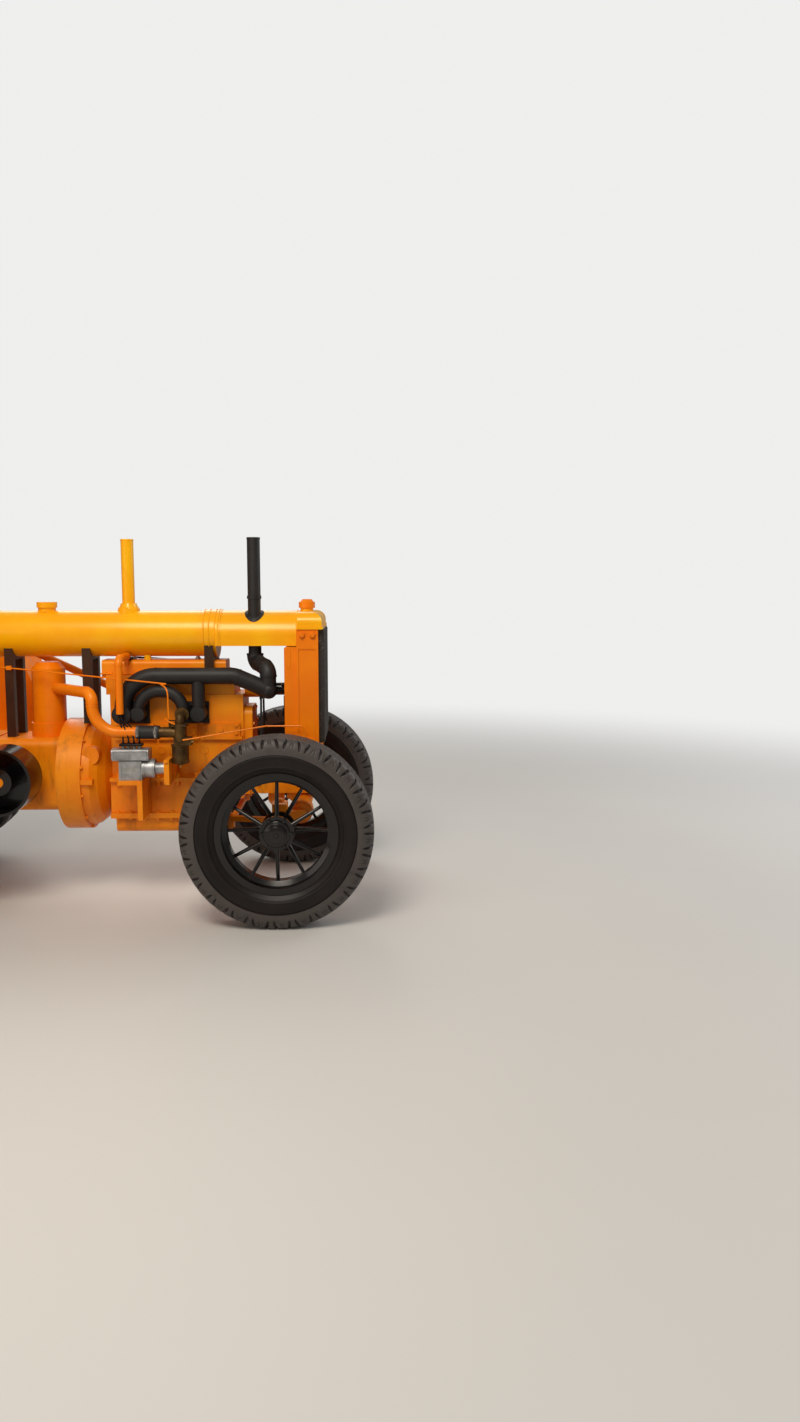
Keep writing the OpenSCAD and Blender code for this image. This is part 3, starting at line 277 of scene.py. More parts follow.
nodePaint = {
    castings: ["engine_block", "oil_pan", "cylinder_head", "clutch_housing", "transmission_case",
               "axle_housings", "front_bolster", "front_axle", "knuckle_right", "knuckle_left", "tie_rod",
               "pitman_arm", "steering_column", "drawbar"],
    frameOrange: ["radiator_frame", "filler_cap", "air_cleaner", "intake_tube", "wire_tube",
                  "foot_boards", "fender_right", "fender_left"],
    # These sheet parts take the lighter, yellower orange as a painted highlight
    sheetOrangeWithPaintedHighlight: ["fuel_tank", "front_hood", "radiator_tank", "intake_stack"],
    wheelBlack: ["front_wheel_right", "front_wheel_left", "rear_wheel_right", "rear_wheel_left",
                 "steering_wheel", "belt_pulley", "seat", "seat_support", "pedals", "fan"],
    stoveBlack: ["exhaust_manifold", "exhaust_pipe"],
    # The cradles' dark brown is painted shade
    strutPaintedShadeBrown: ["tank_cradles"],
    tyreRubber: ["front_tyre_right", "front_tyre_left"],
    lugRubber: ["rear_tyre_right", "rear_tyre_left"],
    hoseRubber: ["intake_hose"],
    magnetoAlloy: ["magneto"],
    bronze: ["carburettor"],
    coreBlack: ["radiator_core"],
}
for finish, names in nodePaint.items():
    for name in names:
        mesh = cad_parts[name].data
        mesh.materials.clear()
        mesh.materials.append(finish.material)
print("tractor: finishes made")


# Mesh helpers
def newMesh(name, vertices, faces):
    mesh = bpy.data.meshes.new(name)
    mesh.from_pydata([tuple(vertex) for vertex in vertices], [], [tuple(face) for face in faces])
    return mesh


def soften(mesh, crease=34):  # smooth, but sharp where faces meet at more than the crease's degrees
    mesh.shade_smooth()
    mesh.set_sharp_from_angle(angle=math.radians(crease))


def addPiece(name, vertices, faces, finish, body, crease=34):
    return wrapMesh(name, newMesh(name, vertices, faces), finish, body, crease)


def wrapMesh(name, mesh, finish, body, crease=34):
    mesh.name = name
    work = bmesh.new()
    work.from_mesh(mesh)
    bmesh.ops.remove_doubles(work, verts=work.verts, dist=0.00002)
    bmesh.ops.recalc_face_normals(work, faces=work.faces)
    work.to_mesh(mesh)
    work.free()
    mesh.materials.clear()
    mesh.materials.append(finish.material)
    for face in mesh.polygons:
        face.material_index = 0
    soften(mesh, crease)
    piece = bpy.data.objects.new(name, mesh)
    bpy.context.scene.collection.objects.link(piece)
    if body:
        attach(piece, body)
    return piece


def inMetres(profile):
    return [(r * mm, along * mm) for r, along in profile]


def bridge(first, second, count):  # faces between two rings of points
    return [(first + k, first + (k + 1) % count, second + (k + 1) % count, second + k) for k in range(count)]


def spin(profile, steps, centre, axis):
    # Profile points are (radius, distance along the axis), joined ring by ring
    turn = Vector((0, 0, 1)).rotation_difference(Vector(axis))
    middle = Vector(centre)
    vertices, faces = [], []
    count = len(profile)
    for i in range(steps):
        a = 2 * math.pi * i / steps
        for r, along in profile:
            vertices.append(middle + turn @ Vector((r * math.cos(a), r * math.sin(a), along)))
        j = (i + 1) % steps
        for k in range(count - 1):
            faces.append((i * count + k, j * count + k, j * count + k + 1, i * count + k + 1))
    return vertices, faces


def turned(profile, steps, centre=(0, 0, 0), axis=(0, 0, 1)):  # a closed solid, its profile in millimetres
    return spin(inMetres([*profile, profile[0]]), steps, centre, axis)


def rod(radius, low, high):
    return [(0, low), (radius, low), (radius, high), (0, high)]


def smoothLine(points, steps):
    points = [Vector(p) for p in points]
    ends = [2 * points[0] - points[1], *points, 2 * points[-1] - points[-2]]
    line = []
    for a, b, c, d in zip(ends, ends[1:], ends[2:], ends[3:]):
        bend, twist = 2 * a - 5 * b + 4 * c - d, 3 * b - a - 3 * c + d
        line += [0.5 * (2 * b + (c - a) * t + bend * t * t + twist * t ** 3)
                 for t in (i / steps for i in range(steps))]
    return [*line, points[-1]]


def sweep(line, radius, count):
    vertices, faces = [], []
    direction = (line[1] - line[0]).normalized()
    across = direction.orthogonal().normalized()
    for i, point in enumerate(line):
        ahead = line[min(i + 1, len(line) - 1)] - line[max(i - 1, 0)]
        across = (across - across.project(ahead)).normalized()
        side = ahead.normalized().cross(across)
        for k in range(count):
            a = 2 * math.pi * k / count
            vertices.append(point + radius * (math.cos(a) * across + math.sin(a) * side))
    for i in range(len(line) - 1):
        faces += bridge(i * count, (i + 1) * count, count)
    faces += [tuple(reversed(range(count))), tuple((len(line) - 1) * count + k for k in range(count))]
    return vertices, faces


def brick(low, high):
    x0, y0, z0 = low
    x1, y1, z1 = high
    vertices = [Vector((x, y, z)) for z in (z0, z1) for y in (y0, y1) for x in (x0, x1)]
    faces = [(0, 2, 3, 1), (4, 5, 7, 6), (0, 1, 5, 4), (2, 6, 7, 3), (0, 4, 6, 2), (1, 3, 7, 5)]
    return vertices, faces


def joined(*shapes):
    vertices, faces = [], []
    for points, rings in shapes:
        start = len(vertices)
        vertices += list(points)
        faces += [tuple(start + k for k in ring) for ring in rings]
    return vertices, faces


def rounded(piece, width):
    edge = piece.modifiers.new("rounded edges", "BEVEL")
    edge.width, edge.segments, edge.limit_method, edge.angle_limit = width, 2, "ANGLE", math.radians(40)


# Geometry node trees
class Shape:
    def __init__(self, name, inputs):
        self.tree = bpy.data.node_groups.new(name, "GeometryNodeTree")
        face = self.tree.interface
        face.new_socket(name="Geometry", in_out="OUTPUT", socket_type="NodeSocketGeometry")
        face.new_socket(name="Geometry", in_out="INPUT", socket_type="NodeSocketGeometry")
        self.keys = {label: face.new_socket(name=label, in_out="INPUT", socket_type=kind).identifier
                     for label, kind in inputs.items()}
        self.start = self.tree.nodes.new("NodeGroupInput")
        self.end = self.tree.nodes.new("NodeGroupOutput")

    def node(self, kind, settings=None, sockets=None, out=0):
        node = self.tree.nodes.new(kind)
        for key, value in (settings or {}).items():
            setattr(node, key, value)
        for key, value in (sockets or {}).items():
            if isinstance(value, bpy.types.NodeSocket):
                self.tree.links.new(value, node.inputs[key])
            else:
                node.inputs[key].default_value = value
        return node.outputs[out]

    def given(self, label):
        return self.start.outputs[label]

    def close(self, instances, merge=0.0):
        whole = self.node("GeometryNodeRealizeInstances", None, {0: instances})
        if merge:
            whole = self.node("GeometryNodeMergeByDistance", None, {0: whole, "Distance": merge})
        whole = self.node("GeometryNodeSetMaterial", None, {0: whole, "Material": self.given("Finish")})
        self.tree.links.new(whole, self.end.inputs[0])
        return self

    def make(self, name, mesh, finish, body, crease=34, **values):
        carrier = bpy.data.objects.new(name + ".tree", mesh)
        bpy.context.scene.collection.objects.link(carrier)
        step = carrier.modifiers.new("shape", "NODES")
        step.node_group = self.tree
        step[self.keys["Finish"]] = finish.material
        for label, value in values.items():
            step[self.keys[label.replace("_", " ")]] = value
        result = bpy.data.meshes.new_from_object(carrier.evaluated_get(bpy.context.evaluated_depsgraph_get()))
        bpy.data.objects.remove(carrier)
        return wrapMesh(name, result, finish, body, crease)


def ringShape():  # repeats its mesh about the Y axis, then puts it at a centre
    s = Shape("ring of parts", {"Count": "NodeSocketInt", "Start Turn": "NodeSocketFloat",
                                "Centre": "NodeSocketVector", "Finish": "NodeSocketMaterial"})
    index = s.node("GeometryNodeInputIndex")
    share = s.node("ShaderNodeMath", {"operation": "DIVIDE"}, {0: index, 1: s.given("Count")})
    angle = s.node("ShaderNodeMath", {"operation": "MULTIPLY_ADD"},
                   {0: share, 1: 2 * math.pi, 2: s.given("Start Turn")})
    turn = s.node("ShaderNodeCombineXYZ", None, {"Y": angle})
    points = s.node("GeometryNodePoints", None, {"Count": s.given("Count"), "Position": s.given("Centre")})
    return s.close(s.node("GeometryNodeInstanceOnPoints", None, {
        "Points": points, "Instance": s.given("Geometry"), "Rotation": turn}), merge=0.00003)


def rowShape():  # repeats its mesh in a straight row
    s = Shape("row of parts", {"Count": "NodeSocketInt", "Step": "NodeSocketVector",
                               "First": "NodeSocketVector", "Finish": "NodeSocketMaterial"})
    line = s.node("GeometryNodeMeshLine", None, {
        "Count": s.given("Count"), "Start Location": s.given("First"), "Offset": s.given("Step")})
    return s.close(s.node("GeometryNodeInstanceOnPoints", None, {
        "Points": line, "Instance": s.given("Geometry")}))


def fastenerShape():  # a hexagon head on its washer at every point, along the point's own axis
    s = Shape("hexagon heads", {"Across Corners": "NodeSocketFloat", "Height": "NodeSocketFloat",
                                "Washer": "NodeSocketFloat", "Seed": "NodeSocketInt",
                                "Finish": "NodeSocketMaterial"})
    radius = s.node("ShaderNodeMath", {"operation": "MULTIPLY"}, {0: s.given("Across Corners"), 1: 0.5})
    tall = s.given("Height")

    def stacked(sides, low, high, start, end):
        bottom = s.node("ShaderNodeMath", {"operation": "MULTIPLY"}, {0: radius, 1: low})
        top = s.node("ShaderNodeMath", {"operation": "MULTIPLY"}, {0: radius, 1: high})
        depth = s.node("ShaderNodeMath", {"operation": "MULTIPLY"}, {0: tall, 1: end - start})
        lift = s.node("ShaderNodeMath", {"operation": "MULTIPLY"}, {0: tall, 1: start})
        cone = s.node("GeometryNodeMeshCone", None, {
            "Vertices": sides, "Radius Bottom": bottom, "Radius Top": top, "Depth": depth})
        return s.node("GeometryNodeTransform", None, {
            0: cone, "Translation": s.node("ShaderNodeCombineXYZ", None, {"Z": lift})})

    washer = s.node("GeometryNodeTransform", None, {
        0: stacked(20, 1.0, 0.97, 0.0, 0.16), "Scale": s.node(
            "ShaderNodeCombineXYZ", None, {"X": s.given("Washer"), "Y": s.given("Washer"), "Z": 1.0})})
    head = s.node("GeometryNodeJoinGeometry")
    for shape in (washer, stacked(6, 1.0, 1.0, 0.1, 0.82), stacked(6, 1.0, 0.78, 0.82, 1.0)):
        s.tree.links.new(shape, head.node.inputs[0])
    axis = s.node("GeometryNodeInputNamedAttribute", {"data_type": "FLOAT_VECTOR"}, {"Name": "axis"})
    aim = s.node("FunctionNodeAlignRotationToVector", {"axis": "Z"}, {"Vector": axis})
    chance = s.node("FunctionNodeRandomValue", {"data_type": "FLOAT"},
                    {"Min": 0.0, "Max": 1.05, "Seed": s.given("Seed")}, out=1)
    turn = s.node("ShaderNodeCombineXYZ", None, {"Z": chance})
    turn = s.node("FunctionNodeEulerToRotation", None, {0: turn})
    aim = s.node("FunctionNodeRotateRotation", {"rotation_space": "LOCAL"}, {0: aim, 1: turn})
    return s.close(s.node("GeometryNodeInstanceOnPoints", None, {
        "Points": s.given("Geometry"), "Instance": head, "Rotation": aim}))


ring, row, fasteners = ringShape(), rowShape(), fastenerShape()


def boltSet(name, spots, size, finish=castings, body=root, seed=1):
    # Spots are (place, axis); size is (across corners, height, washer as a share of the corners)
    mesh = newMesh(name + ".spots", [place for place, axis in spots], [])
    axes = mesh.attributes.new("axis", "FLOAT_VECTOR", "POINT")
    axes.data.foreach_set("vector", [c for place, axis in spots for c in axis])
    return fasteners.make(name, mesh, finish, body, 30, Across_Corners=size[0] * mm, Height=size[1] * mm,
                          Washer=size[2], Seed=seed)


# Camera and stage
view = {"place": (1.54830, -5.02604, 1.47380), "down": 0.12044773, "right": 0.02903995,  # metres, radians
        "focal": 1060, "tall": 1422, "film": 36}  # focal length and picture in pixels, film in millimetres
camera = bpy.data.objects.new("camera", bpy.data.cameras.new("camera"))
camera.data.sensor_fit = "VERTICAL"
camera.data.sensor_height = view["film"]
camera.data.lens = view["focal"] / view["tall"] * view["film"]
camera.location = view["place"]
camera.rotation_euler = (math.pi / 2 - view["down"], 0, -view["right"])
bpy.context.scene.collection.objects.link(camera)
bpy.context.scene.camera = camera
bpy.context.scene.view_settings.view_transform = "Standard"


def softLamp(name, place, target, size, power, warmth):
    lamp = bpy.data.objects.new(name, bpy.data.lights.new(name, "AREA"))
    lamp.data.size, lamp.data.energy, lamp.data.color = size, power, warmth
    lamp.location = place
    lamp.rotation_euler = (Vector(target) - Vector(place)).to_track_quat("-Z", "Y").to_euler()
    bpy.context.scene.collection.objects.link(lamp)


lamps = {  # place and size in metres, watts, colour
    "key": ((0.3, -3.7, 4.6), 2.0, 172, (1.0, 0.91, 0.79)),
    "fill": ((-3.0, -4.4, 1.9), 2.8, 32, (1.0, 0.91, 0.82)),
    "back": ((-0.5, 4.4, 4.2), 3.0, 90, (1.0, 0.96, 0.9)),
    "nose": ((5.0, 1.5, 3.0), 2.6, 60, (0.97, 0.98, 1.0))}
for name, (place, size, power, warmth) in lamps.items():
    softLamp(name, place, (0.2, 0, 0.7), size, power, warmth)

backdrop, roomTone, roomLight = (0.86, 0.86, 0.85, 1), (1.0, 0.96, 0.9, 1), 0.28
world = bpy.data.worlds.new("soft room")
bpy.context.scene.world = world
world.use_nodes = True
world.node_tree.nodes.clear()
seen = world.node_tree.nodes.new("ShaderNodeLightPath")
shown = world.node_tree.nodes.new("ShaderNodeBackground")
shown.inputs["Color"].default_value = backdrop
lit = world.node_tree.nodes.new("ShaderNodeBackground")
lit.inputs["Color"].default_value = roomTone
lit.inputs["Strength"].default_value = roomLight
choose = world.node_tree.nodes.new("ShaderNodeMixShader")
goal = world.node_tree.nodes.new("ShaderNodeOutputWorld")
world.node_tree.links.new(seen.outputs["Is Camera Ray"], choose.inputs[0])
world.node_tree.links.new(lit.outputs[0], choose.inputs[1])
world.node_tree.links.new(shown.outputs[0], choose.inputs[2])
world.node_tree.links.new(choose.outputs[0], goal.inputs[0])


def floorPaint():
    p = Paint("pale floor", "floor")
    tone = p.blend(p.noise(0.7, 3), (0.66, 0.65, 0.63), (0.7, 0.69, 0.67))
    ground = p.surface(Base_Color=tone, Roughness=0.55)
    # Far from the tractor the floor turns into the pale background, for the camera alone
    away = p.node("ShaderNodeVectorMath", {"operation": "LENGTH"}, {0: p.place}, out=1)
    seen = p.node("ShaderNodeLightPath", out="Is Camera Ray")
    pale = p.node("ShaderNodeEmission", None, {"Color": backdrop})
    return p.show(p.node("ShaderNodeMixShader", None, {0: away.between(3.0, 8.5) * seen, 1: ground, 2: pale}))


far = 30
corners = [(-far, -far, 0), (far, -far, 0), (far, far, 0), (-far, far, 0)]
floor = addPiece("floor", corners, [(0, 1, 2, 3)], floorPaint(), None)
print("tractor: camera, lamps and floor ready")

# Tyres
frontTyre = {
    "half": 100, "rimRadius": 242, "rimHalf": 69.5, "bead": 19, "blocks": 26, "steps": 32, "widest": 100.5,
    "crown": frontRadius, "crownHalf": 62, "crownDrop": 1.5, "grooveDepth": 10.0,
    "sidewall": (134, 128, 122, 118, 117, 113, 112, 106, 100, 94, 90, 87), "moulding": (112, 118, 1.8),
    "band": [(343, 97.5), (345, 101.6), (357, 101.2), (369, 99.6), (381, 96.6), (392, 91.6),
             (402, 85), (409, 76.5), (413, 66)],
    # Slots: (place at the top, at the foot), width and share of the depth
    "slots": [((0.0, 0.17), 0.082, 1.0), ((0.5, 0.4), 0.082, 1.0), ((0.76, 0.67), 0.032, 0.4),
              ((0.76, 0.86), 0.032, 0.4)],
    "slotFoot": 0.3, "waves": (14, 42), "waveSwing": 4.0, "waveWidth": 3.6}


def frontProfile(size):
    # (radius, across, zone, place in it) from one bead over the crown to the other
    bulge, middle = size["half"], size["rimRadius"] + size["half"] * 0.92
    side = [(size["rimRadius"] + 1, size["rimHalf"] - 1), (size["rimRadius"] + size["bead"], size["rimHalf"])]
    first, last, lift = size["moulding"]
    for degrees in size["sidewall"]:
        a = math.radians(degrees)
        reach = bulge + (lift if first < degrees < last else 0)
        side.append((middle + reach * math.cos(a), reach * math.sin(a)))
    side = [(r, min(y, size["widest"]), "side", 0.0) for r, y in side]
    curve = smoothLine([Vector((r, y, 0)) for r, y in size["band"][1:]], 2)
    shoulder = [(*size["band"][0], "side", 0.0)]
    shoulder += [(p.x, p.y, "shoulder", i / (len(curve) - 1)) for i, p in enumerate(curve)]
    crown = [(size["crown"] - size["crownDrop"] * (y / size["crownHalf"]) ** 2, y, "crown", y)
             for y in np.linspace(size["crownHalf"] - 1, 0, 22)]
    half = side + shoulder + crown
    return half + [(r, -y, zone, s if zone == "shoulder" else -s) for r, y, zone, s in reversed(half[:-1])]


def grooveDepth(size, zone, s, a):
    if zone == "shoulder" and s > size["slotFoot"]:
        rise = (s - size["slotFoot"]) / (1 - size["slotFoot"])
        deep = 0.0
        for (top, foot), width, share in size["slots"]:
            if share < 1 and rise > 0.8:
                continue
            spot = foot + (top - foot) * rise
            near = abs((a - spot + 0.5) % 1 - 0.5) / (width * (0.7 + 0.3 * rise))
            deep = max(deep, share * min(1.0, 1.6 * max(0.0, 1 - near)))
        return size["grooveDepth"] * deep * min(1.0, rise * 6)
    if zone == "crown":
        swing = size["waveSwing"] * (abs((a * 4) % 1 - 0.5) * 4 - 1)
        near = min(abs(abs(s) - wave - swing * (1 if s > 0 else -1)) for wave in size["waves"])
        return size["grooveDepth"] * 0.7 * max(0.0, min(1.0, (size["waveWidth"] - near) / 1.4))
    return 0.0


def frontTyreSector(size):
    profile = frontProfile(size)
    vertices, faces = [], []
    count, steps = len(profile), size["steps"]
    for i in range(steps + 1):
        angle = 2 * math.pi / size["blocks"] * i / steps
        for r, y, zone, s in profile:
            r = r - grooveDepth(size, zone, s, (i / steps) % 1.0)
            vertices.append(Vector((r * math.sin(angle), y, r * math.cos(angle))) * mm)
    for i in range(steps):
        faces += bridge(i * count, (i + 1) * count, count)
    return newMesh("front tyre sector", vertices, faces)


for side, s in sides:
    body, middle = f"front_wheel_{side}", front(0, s * frontHalfTrack, frontRadius)
    tyre = ring.make(f"front_tread_tyre_{side}", frontTyreSector(frontTyre), tyreRubber, body, 46,
                     Count=frontTyre["blocks"], Start_Turn=0.0, Centre=middle)
    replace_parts(tyre, f"front_tyre_{side}")

rearTyre = {
    "radius": rearRadius, "half": 172, "rimRadius": 356, "rimHalf": 134.5, "bead": 26, "tread": 647,
    "treadDrop": 15, "shoulder": 118, "moulding": (112, 120, 2.2), "middleLine": (88, 92), "lugs": 22,
    "stations": 12, "sweep": 0.235, "topWidth": 46.8, "footWidth": 65, "reach": 152, "overlap": -10}


def carcassRadius(size, y):
    return size["tread"] - size["treadDrop"] * (abs(y) / 120) ** 2.4


def rearCarcass(size):
    bulge, middle = size["half"], size["rimRadius"] + size["half"] * 0.92
    side = [(size["rimRadius"] + 1, size["rimHalf"] - 1), (size["rimRadius"] + size["bead"], size["rimHalf"])]
    (first, last, lift), (low, high) = size["moulding"], size["middleLine"]
    for degrees in np.linspace(136, 48, 24):
        a = math.radians(degrees)
        reach = bulge + (lift if first < degrees < last or low < degrees < high else 0)
        side.append((middle + reach * math.cos(a), reach * math.sin(a)))
    half = side + [(carcassRadius(size, y), y) for y in np.linspace(size["shoulder"], 0, 14)]
    return half + [(r, -y) for r, y in reversed(half[:-1])]


def lugMesh(size, hand):
    # One bar from just past the middle of the tread out over the shoulder
    vertices, faces = [], []
    stations, shoulder, wide = size["stations"], size["shoulder"], size["footWidth"]
    for i in range(stations + 1):
        t = i / stations
        y = size["overlap"] + (size["reach"] - size["overlap"]) * t
        past = max(0.0, y - shoulder)
        top = size["radius"] - 10 * (abs(y) / 150) ** 2 - 26 * (past / 34) ** 2
        foot = carcassRadius(size, min(y, shoulder)) - past * 1.15 - 5
        tall = size["topWidth"] * (0.86 + 0.14 * t)
        for width, r in ((-wide, foot), (-tall - 1, top - 5), (-tall + 5, top), (tall - 5, top),
                         (tall + 1, top - 5), (wide, foot)):
            a = width / 2 / size["radius"] - size["sweep"] * t
            vertices.append(Vector((r * math.sin(a), hand * y, r * math.cos(a))) * mm)
    for i in range(stations):
        faces += bridge(i * 6, (i + 1) * 6, 6)
    faces += [(5, 4, 3, 2, 1, 0), tuple(stations * 6 + k for k in range(6))]
    return newMesh("lug", vertices, faces)


def mergeInto(target, *others):
    work = bmesh.new()
    work.from_mesh(target.data)
    for other in others:
        work.from_mesh(other.data)
        bpy.data.objects.remove(other)
    work.to_mesh(target.data)
    work.free()
    soften(target.data)
    return target


for side, s in sides:
    body, middle = f"rear_wheel_{side}", rear(0, s * rearHalfTrack, rearRadius)
    shape = turned(rearCarcass(rearTyre), 144, middle, (0, 1, 0))
    carcass = addPiece(f"rear_lug_tyre_{side}", *shape, lugRubber, body)
    halfStep = math.pi / rearTyre["lugs"]
    rows = [ring.make(f"lugs {hand}", lugMesh(rearTyre, hand), lugRubber, None, Count=rearTyre["lugs"],
                      Start_Turn=start, Centre=middle) for hand, start in ((1, 0.0), (-1, halfStep))]
    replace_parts(mergeInto(carcass, *rows), f"rear_tyre_{side}")
print("tractor: tyres made")

# Bands, beads and mouths
hood = {"middle": 1227, "foot": 1188, "bend": 1208, "bead": 3.4, "beads": ((-302, 122), (60, 118))}
tank = {"middle": 1237, "bead": 3.2, "beads": ((-370, 112), (-345, 112), (-317, 112), (-1331, 107))}
pipes = {"exhaust": (-138, -53, 1678, 30), "stack": (-730, 0, 1671, 29)}  # x, y, top and radius
exhaustX, exhaustY = pipes["exhaust"][:2]


def arch(x, radius):  # the hood's line across
    line = [(-radius, hood["foot"]), (-radius, hood["bend"])]
    line += [(-radius * math.cos(a), hood["middle"] + radius * math.sin(a))
             for a in np.linspace(0, math.pi, 25)]
    line += [(radius, hood["bend"]), (radius, hood["foot"])]
    return [front(x, y, z) for y, z in line]


def hoop(radius, thick, centre, axis):  # a round bar bent into a ring
    circle = [(thick * math.cos(a) + radius, thick * math.sin(a)) for a in np.linspace(0, 2 * math.pi, 10)]
    return spin(inMetres(circle), 72, centre, axis)


def mouth(x, y, top, radius, wall=3.5):
    edge = [(radius - wall, top - 6), (radius + 0.4, top - 6), (radius + 1.2, top - 2),
            (radius + 1.2, top + 2), (radius, top + 4), (radius - wall, top + 4)]
    return turned(edge, 40, front(x, y, 0))


def saddle(x, y, size):
    # A flat ring about a pipe, bent down over the hood's round top
    vertices, faces = [], []
    inner, outer, low, high = size["inner"], size["outer"], size["gap"], size["thick"]
    for i in range(size["steps"]):
        a = 2 * math.pi * i / size["steps"]
        for r, lift in ((inner, low), (outer, low), (outer, high), (inner, high)):
            across = y + r * math.sin(a)
            top = hood["middle"] + lift + math.sqrt(size["hood"] ** 2 - across ** 2)
            vertices.append(front(x + r * math.cos(a), across, top))
        faces += bridge(i * 4, (i + 1) % size["steps"] * 4, 4)
    return vertices, faces


shapes = [hoop(r, tank["bead"], front(x, 0, tank["middle"]), (1, 0, 0)) for x, r in tank["beads"]]
shapes += [sweep(arch(x, r), hood["bead"] * mm, 8) for x, r in hood["beads"]]
addPiece("tank_and_hood_beads", *joined(*shapes), sheetOrangeWithPaintedHighlight, root, 60)

clampBand = [(30.2, 1399), (33.4, 1400), (33.4, 1414), (30.2, 1415)]
shapes = [mouth(*pipes["exhaust"]), turned(clampBand, 40, front(exhaustX, exhaustY, 0))]
addPiece("exhaust_mouth", *joined(*shapes), stoveBlack, root)
addPiece("stack_rim", *mouth(*pipes["stack"]), sheetOrangeWithPaintedHighlight, root)
collar = {"inner": 30.2, "outer": 45, "hood": 118, "gap": 0.3, "thick": 2.6, "steps": 56}
addPiece("exhaust_collar", *saddle(exhaustX, exhaustY, collar), stoveBlack, root, 40)
soot = [(0, 1678.2), (27, 1678.2), (27, 1679.4), (0, 1679.4)]
addPiece("exhaust_soot", *turned(soot, 32, front(exhaustX, exhaustY, 0)), hoseRubber, root)

# Hose clamps: a band with its screw block
clamp = {"places": (-641, -561), "y": -285, "z": 807, "radius": 30.2, "half": 6,
         "screw": [(0, -13), (3.6, -13), (3.6, 12), (5.6, 12), (5.6, 17), (0, 17)]}
shapes = []
for x in clamp["places"]:
    r, w, y = clamp["radius"], clamp["half"], clamp["y"]
    edge = [(r, -w), (r + 1.6, -w), (r + 2.2, -w + 1.5), (r + 1.2, 0), (r + 2.2, w - 1.5), (r + 1.6, w),
            (r, w)]
    shapes.append(turned(edge, 40, front(x, y, clamp["z"]), (1, 0, 0)))
    shapes.append(turned(clamp["screw"], 12, front(x, y - r - 5, clamp["z"] + 5)))
    shapes.append(brick(front(x - 7, y - r - 5, clamp["z"] - 4), front(x + 7, y - r + 1, clamp["z"] + 13)))
addPiece("hose_clamps", *joined(*shapes), plated, root)

# Ignition leads from the magneto's cap into the wire tube, and from its far end to the plugs
leads = {"radius": 3.6, "caps": (-706, -682, -658, -634), "tube": (-728, -250), "tubeEnd": -740,
         "plugs": (-700, -560, -440, -300)}


def addLead(name, points):
    line = smoothLine([front(*p) for p in points], 6)
    lead = addPiece(name, *sweep(line, leads["radius"] * mm, 10), leadRubber, root, 70)
    sum((b - a).length for a, b in zip(line, line[1:]))


for number, (cap, plug) in enumerate(zip(leads["caps"], leads["plugs"])):
    tubeX, tubeY = leads["tube"]
    dx, dy = (-5, 5)[number % 2], (-5, 5)[number // 2]
    addLead(f"magneto_lead_{number + 1}", [
        (cap, -300, 752), (cap, -302 - 3 * number, 784), ((cap + tubeX) / 2 + 8, -296 + dy, 822 + 4 * number),
        (tubeX + dx + 2, tubeY + dy, 862), (tubeX + dx, tubeY + dy, 900)])
    out = leads["tubeEnd"] + 8 * number
    addLead(f"plug_lead_{number + 1}", [
        (out, -84, 1130), (out, -66, 1121.5), (out, 0, 1120.5), (out + (12 if number else 0), 66, 1121),
        ((plug - 716) / 2 + 4 * number, 92 + 5 * number, 1104), (plug - 16, 130, 1094), (plug, 156, 1070),
        (plug, 155, 1053), (plug, 141, 1036)])

plugProfile = [(0, -6), (9, -6), (9, 4), (12, 4), (12, 12), (8, 13), (7, 22), (5.5, 24), (5, 40), (3, 42),
               (3, 48), (0, 48)]
plugAxis = Vector((0, 0.66, 0.75)).normalized()
shapes = [turned(plugProfile, 16, front(x, 122, 1014), plugAxis) for x in leads["plugs"]]
addPiece("spark_plugs", *joined(*shapes), plated, root)

# Magneto: terminal boots and cap, ribs, a raised frame and the blank plate
boot = [(0, 749), (9, 749), (9, 753), (6.4, 757), (5, 768), (0, 768)]
shapes = [turned(boot, 16, front(x, -300, 0)) for x in leads["caps"]]
addPiece("terminal_boots", *joined(*shapes), leadRubber, root)
cap = brick(front(-722, -322, 748.5), front(-618, -278, 760))
rounded(addPiece("distributor_cap", *cap, leadRubber, root), 0.003)
seam = [(41, -4), (44, -4), (44, 4), (41, 4)]
shapes = [brick(front(x - 2, -341, 604), front(x + 2, -337, 676)) for x in (-712, -628)]
shapes += [brick(front(-746, -345.5, z), front(-594, -341, z + 3.5)) for z in (690, 728)]
shapes += [brick(front(x, -345.5, 694), front(x + 3.5, -341, 728)) for x in (-746, -672, -597.5)]
shapes += [turned(seam, 40, front(x, -300, 647), (1, 0, 0)) for x in (-612, -574)]
addPiece("magneto_ribs", *joined(*shapes), magnetoAlloy, root)
addPiece("magneto_plate", *brick(front(-700, -339.5, 628), front(-640, -337.6, 660)), plated, root)

# Carburettor: two bowl seams, throttle shaft, jet and the plate on its flange
bowl = {"x": -455, "y": -285, "seams": (744, 672), "drain": 648}
shapes = [turned([(38, z), (41, z + 1), (41, z + 7), (38, z + 8)], 40, front(bowl["x"], bowl["y"], 0))
          for z in bowl["seams"]]
shapes += [turned(rod(5, -34, 34), 12, front(-500, bowl["y"], 828)),
           turned(rod(4, 0, 30), 12, front(-430, -307, 776), (1, 0, 0)),
           brick(front(-508, -292, 858), front(-452, -278, 862))]
addPiece("carburettor_trim", *joined(*shapes), bronze, root)
shapes = [turned(rod(8, bowl["drain"], bowl["drain"] + 12), 6, front(bowl["x"], bowl["y"], 0)),
          turned(rod(8, 0, 14), 6, front(-404, -300, 768), (1, 0, 0)),
          turned(rod(7, 0, 12), 6, front(172, -212, 700), (1, 0, 0)),
          turned(rod(4, 0, 26), 10, front(188, -212, 690))]
